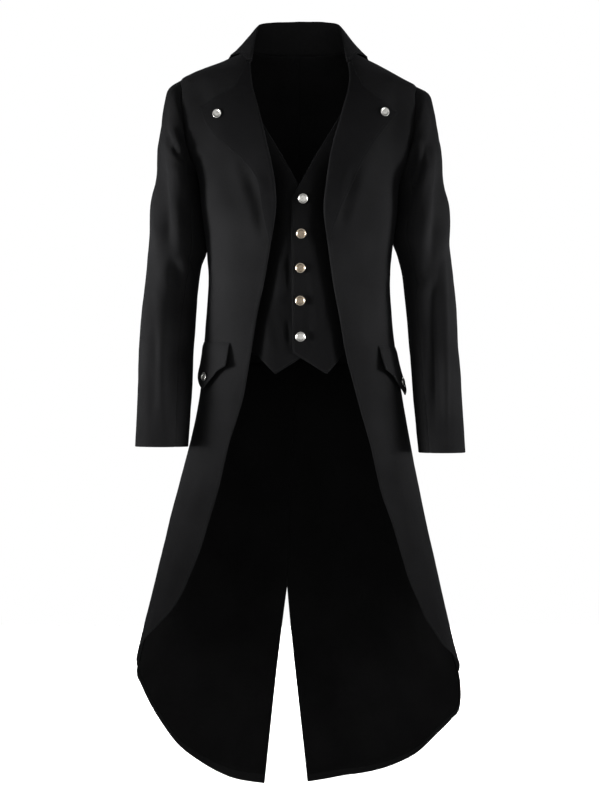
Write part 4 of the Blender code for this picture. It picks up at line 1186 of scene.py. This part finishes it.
def add_bodies(wool, dark):
    """Fronts and backs."""
    for word, side in SIDES.items():
        rests_on = ["cloth_back_" + word]
        for part, patch, sides, rests, sewn in (
                ("front_", front_patch(word), ("head", "last"), rests_on, ("foot", "first")),
                ("back_", back_patch(word), ("head", "last", "first"), ["wearer_shoulders"], ("foot",))):
            outer, outward = body_point(side * patch[..., 0], patch[..., 1])
            inner = outer - outward * CLOTH
            outer = dip_seams(outer, outward, sides)
            cloth(part + word, trim(outer, sides), trim(inner, sides), (wool, dark),
                  "black_wool", "hung", rests, sewn=sewn)


def shorten(points, share):
    """Draw the start of each row of a grid in by a share of one of the solid's cells."""
    share = np.broadcast_to(share, len(points))[:, None]
    place = np.tile(np.arange(points.shape[1], dtype=float), (len(points), 1))
    place[:, :FINE + 1] = FINE * share + (1 - share) * place[:, :FINE + 1]
    low = np.minimum(place.astype(int), points.shape[1] - 2)
    part = (place - low)[..., None]
    before = np.take_along_axis(points, low[..., None], axis=1)
    after = np.take_along_axis(points, low[..., None] + 1, axis=1)
    return before * (1 - part) + after * part


def add_lining(satin):
    """Lining of the tails, a little short of each edge."""
    for word, side in SIDES.items():
        patch = back_patch(word)[:LINING_ROWS + 1]
        faces = []
        for lift in (-CLOTH - LINING_GAP, -CLOTH - LINING_GAP - LINING):
            points, _ = body_point(side * patch[..., 0], patch[..., 1], lift)
            points = shorten(points.transpose(1, 0, 2), LINING_SHORT[0]).transpose(1, 0, 2)
            in_vent = ease((VENT_TOP + VENT_ALLOWANCE - points[:, 0, 2]) / VENT_ALLOWANCE)
            points = shorten(points, LINING_SHORT[1] * in_vent)
            faces.append(shorten(points[:, ::-1], LINING_SHORT[1])[:, ::-1])
        cloth("lining_" + word, *faces, (satin, satin), "black_satin", "hung", ["cloth_back_" + word])


def sleeve_lift(word, points, turn):
    """Lift of a sleeve's cloth over its plain form, as on the wearer's left."""
    side = SIDES[word]
    world = hang(points * (side, 1, 1))
    row = np.linspace(0, 1, len(points))[:, None]
    centre = points[..., 1].mean(axis=1, keepdims=True)
    front = ease((centre - points[..., 1] + SLEEVE_FRONT_BLEND) / (2 * SLEEVE_FRONT_BLEND))
    creases = front * crease_lift(world, SLEEVE_CREASES[word])
    creases += (1 - front) * crease_lift(world, HIND_SLEEVE_CREASES, side)
    inward = ease((-np.cos(turn) - REST_INWARD) / (1 - REST_INWARD))
    height = points[..., 2]
    resting = ease((REST_TOP - height) / REST_FADE)
    resting = resting * ease((height - REST_FOOT[word] + REST_FADE) / REST_FADE)
    roll = np.exp(-((row - HEAD_ROLL_AT) / HEAD_ROLL_WIDTH) ** 2) * (1 + np.cos(turn)) / 2
    creases = ease(row / SEAM_BLEND) * (creases + uneven(world))
    return creases + REST_FULLNESS * inward * resting + HEAD_ROLL * roll


def add_sleeves(wool, dark):
    """Top and under sleeves, with the roll of the sleeve head and their creases."""
    steps = 2 * ROWS_AT_ARMHOLE
    turns = np.arange(steps) * 360.0 / steps
    top_steps = np.arange(-HIND_SEAM_STEP, FRONT_SEAM_STEP + 1) % steps
    under_steps = np.arange(FRONT_SEAM_STEP, steps - HIND_SEAM_STEP + 1) % steps
    for word, side in SIDES.items():
        points, direction = sleeve_rings(word)
        angle, height = armhole_edge(turns).T
        seam, outward = body_point(side * angle, height)
        seam, outward = seam * (side, 1, 1), outward * (side, 1, 1)
        inner = points + direction * sleeve_lift(word, points, np.radians(turns))[..., None]
        outer = inner + direction * CLOTH
        leave = unit(points[1] - points[0]) * SEAM_GAP / 2
        row = np.linspace(0, 1, len(points))[:, None]
        settle = (1 - ease(row / SEAM_SETTLE))[..., None]
        outer += settle * (seam - outward * SEAM_DIP + leave - outer[0])
        inner += settle * (seam - outward * CLOTH + leave - inner[0])
        for name, columns in (("top_sleeve_", top_steps), ("under_sleeve_", under_steps)):
            face = dip_seams(outer[:, columns], direction[:, columns], ("first", "last", "foot"))
            face = trim(face * (side, 1, 1), ("first", "last"))
            inside = trim(inner[:, columns] * (side, 1, 1), ("first", "last"))
            cloth(name + word, face, inside, (wool, dark), "black_wool", "hung",
                  ["cloth_front_" + word, "cloth_back_" + word])


def refine(points, times):
    """More points along each row of a grid, on a smooth curve through its own."""
    before = np.concatenate([2 * points[:, :1] - points[:, 1:2], points[:, :-1]], axis=1)
    after = np.concatenate([points[:, 1:], 2 * points[:, -1:] - points[:, -2:-1]], axis=1)
    slope = (after - before) / 2
    fine = [curve_between(points[:, :-1], points[:, 1:], slope[:, :-1], slope[:, 1:], share)
            for share in np.arange(times) / times]
    grid = np.stack(fine, axis=2).reshape(len(points), -1, 3)
    return np.concatenate([grid, points[:, -1:]], axis=1)


def add_collar(wool, dark):
    """High collar, one shell folded at its roll; its neck side is dark."""
    seam = neck_seam()
    sections = [collar_section(-1, *place) for place in seam[:0:-1]]
    sections += [collar_section(1, *place) for place in seam]
    outer = refine(np.array(sections), FINE)
    outer = outer - grid_normals(outer) * uneven(outer)[..., None]
    inner = outer + grid_normals(outer) * CLOTH
    dark_columns = len(COLLAR_STAND_SHARES) * FINE + COLLAR_DARK_ROLL
    cloth("collar", outer, inner, (wool, dark), "black_wool", "folded",
          ["cloth_back_left", "cloth_back_right"], dark_columns, sewn=("last",))


def add_lapels(wool):
    """Wide lapels, folded out at the roll line."""
    for word, side in SIDES.items():
        face = lapel_points(word)
        head = face[:, :len(ROLL_SECTION)]
        face = np.concatenate([refine(head, ROLL_FINE), face[:, len(ROLL_SECTION):]], axis=1)
        inside = face - grid_normals(face) * CLOTH * side
        cloth("lapel_" + word, trim(face, ("head",)), trim(inside, ("head",)), (wool, wool),
              "black_wool", "folded", ["cloth_front_" + word], sewn=("last",))


def add_vest(weave, dark):
    """Two waistcoat fronts inside the coat's fronts."""
    for word, side in SIDES.items():
        patch = vest_patch(side)
        angle, height = side * patch[..., 0], patch[..., 1]
        plain, outward = trunk_point(angle, height)
        share = np.linspace(0, 1, patch.shape[1])[None, :]
        lift = vest_lift(side, patch.shape[1])[None, :] + crease_lift(plain, VEST_CREASES)
        joined = ease((share - VEST_RISE_FROM) / (1 - VEST_RISE_FROM))
        lift = lift + joined * body_lift(plain) + (1 - joined) * uneven(plain) * VEST_FREE_UNEVENNESS
        edge = smooth_column(FRONT_EDGE, word + "_angle", height) + VEST_RECESS_PAST
        recess = np.exp(-((patch[..., 0] - edge) / VEST_RECESS_WIDTH) ** 2)
        lift -= VEST_RECESS * recess * ease((VEST_RECESS_TOP - height) / VEST_RECESS_FADE)
        outer = plain + outward * lift[..., None]
        cloth("vest_" + word, outer, outer - outward * CLOTH, (weave, dark),
              "waistcoat_wool", "hung", ["cloth_front_" + word], sewn=("foot", "first"), inset=VEST_INSET)


def add_flaps(wool, dark):
    """Pointed pocket flaps on the hips, standing off at their front edge."""
    share = np.linspace(0, 1, FLAP_STEPS + 1)[None, :]
    down = np.linspace(1, 0, FLAP_ROWS + 1)[:, None]
    top = straight_column(FLAP, "top_height", share)
    height = top + (straight_column(FLAP, "foot_height", share) - top) * down
    gape = FLAP_GAPE * np.exp(-(share / FLAP_GAPE_WIDTH) ** 2) * down ** FLAP_GAPE_RISE
    gape = gape - FLAP_TOP_SINK * np.exp(-(down / FLAP_TOP_SINK_SHARE) ** 2)
    for word, side in SIDES.items():
        angle = np.broadcast_to(straight_column(FLAP, "angle", share) + FLAP_TURN[word], height.shape)
        outer, outward = body_point(side * angle, height, flap_lift(share, down) + gape)
        cloth("flap_" + word, outer, outer - outward * CLOTH, (wool, dark),
              "black_wool", "hung", ["cloth_front_" + word, "cloth_back_" + word],
              sewn=("foot", "first", "last"))


def add_button(name, angle, height, lift, radius, metals):
    """Turned button with a rounded rim, a dished face and a shank, square to the cloth under it."""
    seat, outward = trunk_point(angle, height, lift + SEAM_GAP)
    seat = hang(seat)
    scale = radius / BUTTON_RADIUS
    level = unit(np.cross((0.0, 0.0, 1.0), outward))
    upright = np.cross(outward, level)
    turn = np.arange(BUTTON_STEPS) * 2 * math.pi / BUTTON_STEPS
    spokes = np.cos(turn)[:, None] * level + np.sin(turn)[:, None] * upright
    profile = np.array(BUTTON_PROFILE[1:], float) * scale
    rings = seat + spokes[:, None] * profile[None, :, :1] + outward * profile[None, :, 1:]
    count = len(profile)
    points = np.concatenate([rings.reshape(-1, 3), [seat, seat + outward * BUTTON_FACE_HEIGHT * scale]])
    under, over = len(points) - 2, len(points) - 1
    faces = []
    for step in range(BUTTON_STEPS):
        here, there = step * count, (step + 1) % BUTTON_STEPS * count
        faces.append((under, there, here))
        for ring in range(count - 1):
            faces.append((here + ring, there + ring, there + ring + 1, here + ring + 1))
        faces.append((over, here + count - 1, there + count - 1))
    piece = new_object("metal_" + name, points.tolist(), faces, metals)
    mesh = piece.data
    if mesh.polygons[len(faces) - 1].normal.dot(outward.tolist()) < 0:
        mesh.flip_normals()
    for face in mesh.polygons:
        reach = np.linalg.norm(np.cross(np.array(face.center) - seat, outward))
        face.material_index = int(reach < FACE_RADIUS * scale)
    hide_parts(name)
    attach(piece, "root")


def add_buttons(silver, bronze):
    """Five waistcoat buttons, one on each lapel and one on each flap."""
    last = len(VEST_BUTTONS) - 1
    for number, (angle, height) in enumerate(VEST_BUTTONS[1:], start=1):
        metal, slot = (silver, "silver") if number in (1, last) else (bronze, "bronze")
        add_button(f"vest_button_{number}", angle, height, VEST_LIFT, BUTTON_RADIUS, metal)
    share, _, top, foot = FLAP[FLAP_BUTTON_ROW]
    for word, angle, height, share_to_roll in LAPEL_BUTTONS[1:]:
        angle = SIDES[word] * angle
        lift = LAPEL_EDGE_LIFT + (LAPEL_ROLL_LIFT - LAPEL_EDGE_LIFT) * share_to_roll
        add_button("lapel_button_" + word, angle, height, lift, LAPEL_BUTTON_RADIUS, silver)
    for word, side in SIDES.items():
        angle, height = FLAP_BUTTON
        lift = float(flap_lift(share, (height - top) / (foot - top))) + FLAP_BUTTON_RISE
        angle = side * (angle + FLAP_TURN[word])
        add_button("flap_button_" + word, angle, height, lift, FLAP_BUTTON_RADIUS, silver)


def node_adder(tree):
    """Function that adds a node to a tree, with its settings and its inputs as values or links."""

    def add(kind, settings=(), inputs=()):
        node = tree.nodes.new(kind)
        for key, value in dict(settings).items():
            setattr(node, key, value)
        for key, value in dict(inputs).items():
            if isinstance(value, bpy.types.NodeSocket):
                tree.links.new(value, node.inputs[key])
            else:
                node.inputs[key].default_value = value
        return node

    return add


def new_material(name, colour, roughness, metallic, specular):
    """New material with its shader, a function that adds nodes and one that links to the shader."""
    material = bpy.data.materials.new(name)
    material.use_nodes = True
    material.diffuse_color = (*colour, 1.0)
    tree = material.node_tree
    shader = tree.nodes["Principled BSDF"]
    for name, value in (("Base Color", (*colour, 1.0)), ("Roughness", roughness),
                        ("Metallic", metallic), ("Specular IOR Level", specular)):
        shader.inputs[name].default_value = value

    def link(name, socket):
        tree.links.new(socket, shader.inputs[name])

    return material, shader, node_adder(tree), link


def noise(add, name):
    """Named noise, fixed to the object."""
    scale, detail = NOISES[name]
    place = add("ShaderNodeTexCoord").outputs["Object"]
    return add("ShaderNodeTexNoise", {}, {"Vector": place, "Scale": scale, "Detail": detail}).outputs["Fac"]


def bands(add, direction, period):
    """Parallel threads across one direction of the flat cloth, a little wavy."""
    flat = add("ShaderNodeAttribute", {"attribute_name": "flat"}).outputs["Vector"]
    scale = 2 * math.pi / (BAND_TURNS[direction] * period)
    settings = {"wave_type": "BANDS", "bands_direction": direction}
    inputs = {"Vector": flat, "Scale": scale, "Distortion": 0.6, "Detail": 1.0, "Detail Scale": 3.0}
    return add("ShaderNodeTexWave", settings, inputs).outputs["Fac"]


def plus(add, base, value, share):
    """One value with a share of another on top."""
    return add("ShaderNodeMath", {"operation": "MULTIPLY_ADD"}, {0: value, 1: share, 2: base}).outputs[0]


def mapped(add, value, source, target=(0.0, 1.0)):
    """Value taken from one range to another."""
    ends = dict(zip(("From Min", "From Max", "To Min", "To Max"), (*source, *target)))
    return add("ShaderNodeMapRange", {}, {"Value": value, **ends}).outputs[0]


def relief(add, height, strength, distance):
    """Fine relief of a height over a distance in metres."""
    inputs = {"Height": height, "Strength": strength, "Distance": distance}
    return add("ShaderNodeBump", {}, inputs).outputs["Normal"]


def cloth_material(name, colour, roughness, sheen, strength):
    """Woven cloth: a diagonal twill and its threads as relief, with uneven colour and a soft sheen."""
    material, shader, add, link = new_material(name, colour, roughness, metallic=0.0, specular=0.0)
    shader.inputs["Sheen Weight"].default_value = sheen
    shader.inputs["Sheen Roughness"].default_value = SHEEN_ROUGHNESS
    shader.inputs["Sheen Tint"].default_value = SHEEN_TINT
    twill = bands(add, "DIAGONAL", TWILL_PERIOD)
    threads = plus(add, twill, bands(add, "X", THREAD_PERIOD), THREAD_SHARE)
    fuzz, cloud, slub = (noise(add, kind) for kind in ("fuzz", "cloud", "slub"))
    link("Normal", relief(add, plus(add, threads, fuzz, FUZZ_SHARE), strength, WEAVE_DEPTH))
    shades = (1.0 - MOTTLE, 1.0 + MOTTLE)
    shade = mapped(add, plus(add, cloud, slub, SLUB_SHARE), SHADE_RANGE, shades)
    worn = plus(add, shade, twill, TWILL_SHARE)
    base = add("ShaderNodeVectorMath", {"operation": "SCALE"}, {0: colour, "Scale": worn}).outputs[0]
    link("Base Color", base)
    ends = (roughness - ROUGHNESS_SPREAD, roughness + ROUGHNESS_SPREAD)
    link("Roughness", mapped(add, cloud, CLOUD_RANGE, ends))
    return material


def metal_material(name, colour, tarnish, roughness):
    """Cast metal with a fine grain, dull spots and a lighter worn surface."""
    material, _, add, link = new_material(name, colour, roughness, metallic=1.0, specular=0.5)
    spots, grain = (noise(add, kind) for kind in ("spots", "grain"))
    colours = {"Factor": mapped(add, spots, DULL_RANGE), 6: (*colour, 1.0), 7: (*tarnish, 1.0)}
    link("Base Color", add("ShaderNodeMix", {"data_type": "RGBA"}, colours).outputs[2])
    ends = (roughness - METAL_SMOOTHER, roughness + METAL_ROUGHER)
    link("Roughness", mapped(add, spots, SPOT_RANGE, ends))
    link("Normal", relief(add, grain, *GRAIN_RELIEF))
    return material


def thread_material():
    """Black sewing thread, a little glossier than the cloth, with its twist as a fine relief."""
    looks = {"metallic": 0.0, "specular": THREAD_SPECULAR}
    _, _, add, link = new_material("sewing_thread", THREAD_COLOUR, THREAD_ROUGHNESS, **looks)
    twist = noise(add, "twist")
    link("Roughness", mapped(add, twist, (0.0, 1.0), THREAD_ROUGHNESS_RANGE))
    link("Normal", relief(add, twist, *TWIST_RELIEF))


def add_stage():
    """Plain pale floor."""
    corners = [(x * FLOOR_REACH, y * FLOOR_REACH, FLOOR) for x, y in ((-1, -1), (1, -1), (1, 1), (-1, 1))]
    material, *_ = new_material("pale_floor", FLOOR_COLOUR, FLOOR_ROUGHNESS, metallic=0.0, specular=0.0)
    new_object("floor", corners, [(0, 1, 2, 3)], [material])


def add_world():
    """White studio round the coat, which is most of its light; its ceiling is dim."""
    world = bpy.data.worlds.new("studio")
    world.use_nodes = True
    tree = world.node_tree
    add = node_adder(tree)
    sight = add("ShaderNodeTexCoord").outputs["Generated"]
    height = add("ShaderNodeSeparateXYZ", {}, {0: sight}).outputs["Z"]
    background = tree.nodes["Background"]
    background.inputs["Color"].default_value = (1.0, 1.0, 1.0, 1.0)
    light = mapped(add, height, (CEILING_FROM, CEILING_TO), (1.0, CEILING_LIGHT))
    tree.links.new(light, background.inputs["Strength"])
    bpy.context.scene.world = world


def add_light(name, place, aim, size, spread, power):
    """Soft square light that faces a point."""
    lamp = bpy.data.lights.new(name, "AREA")
    lamp.shape = "RECTANGLE"
    lamp.size, lamp.size_y = size
    lamp.energy = power
    lamp.spread = math.radians(spread)
    thing = bpy.data.objects.new(name, lamp)
    bpy.context.scene.collection.objects.link(thing)
    way = Vector(aim) - Vector(place)
    thing.location = place
    thing.rotation_euler = way.to_track_quat("-Z", "Y").to_euler()


def add_camera():
    """Camera of the photo: level, in front, at hip height."""
    lens = bpy.data.cameras.new("camera")
    lens.sensor_fit = "VERTICAL"
    lens.sensor_height = CAMERA_SENSOR
    lens.lens = CAMERA_LENS
    camera = bpy.data.objects.new("camera", lens)
    camera.location = CAMERA_PLACE
    camera.rotation_euler = (math.pi / 2, 0.0, 0.0)
    bpy.context.scene.collection.objects.link(camera)
    bpy.context.scene.camera = camera


def main():
    """Dress the frame, light it and place the camera."""
    thread_material()
    # facing is the lapels' cloth: the coat cloth made darker, as painted shade
    wool, facing, dark, weave, satin = [cloth_material(*row) for row in CLOTHS]
    metals = [metal_material(*row) for row in METALS]
    add_bodies(wool, dark)
    # the lining's cloth is darker than the coat cloth, as painted shade
    add_lining(satin)
    add_sleeves(wool, dark)
    add_collar(wool, dark)
    add_lapels(facing)
    # the waistcoat's cloth is darker than the coat cloth, as painted shade
    add_vest(weave, dark)
    add_flaps(wool, dark)
    add_buttons(metals[:2], metals[2:])
    add_stage()
    add_camera()
    bpy.context.scene.view_settings.view_transform = "Standard"
    add_world()
    for light in LIGHTS:
        add_light(*light)


main()
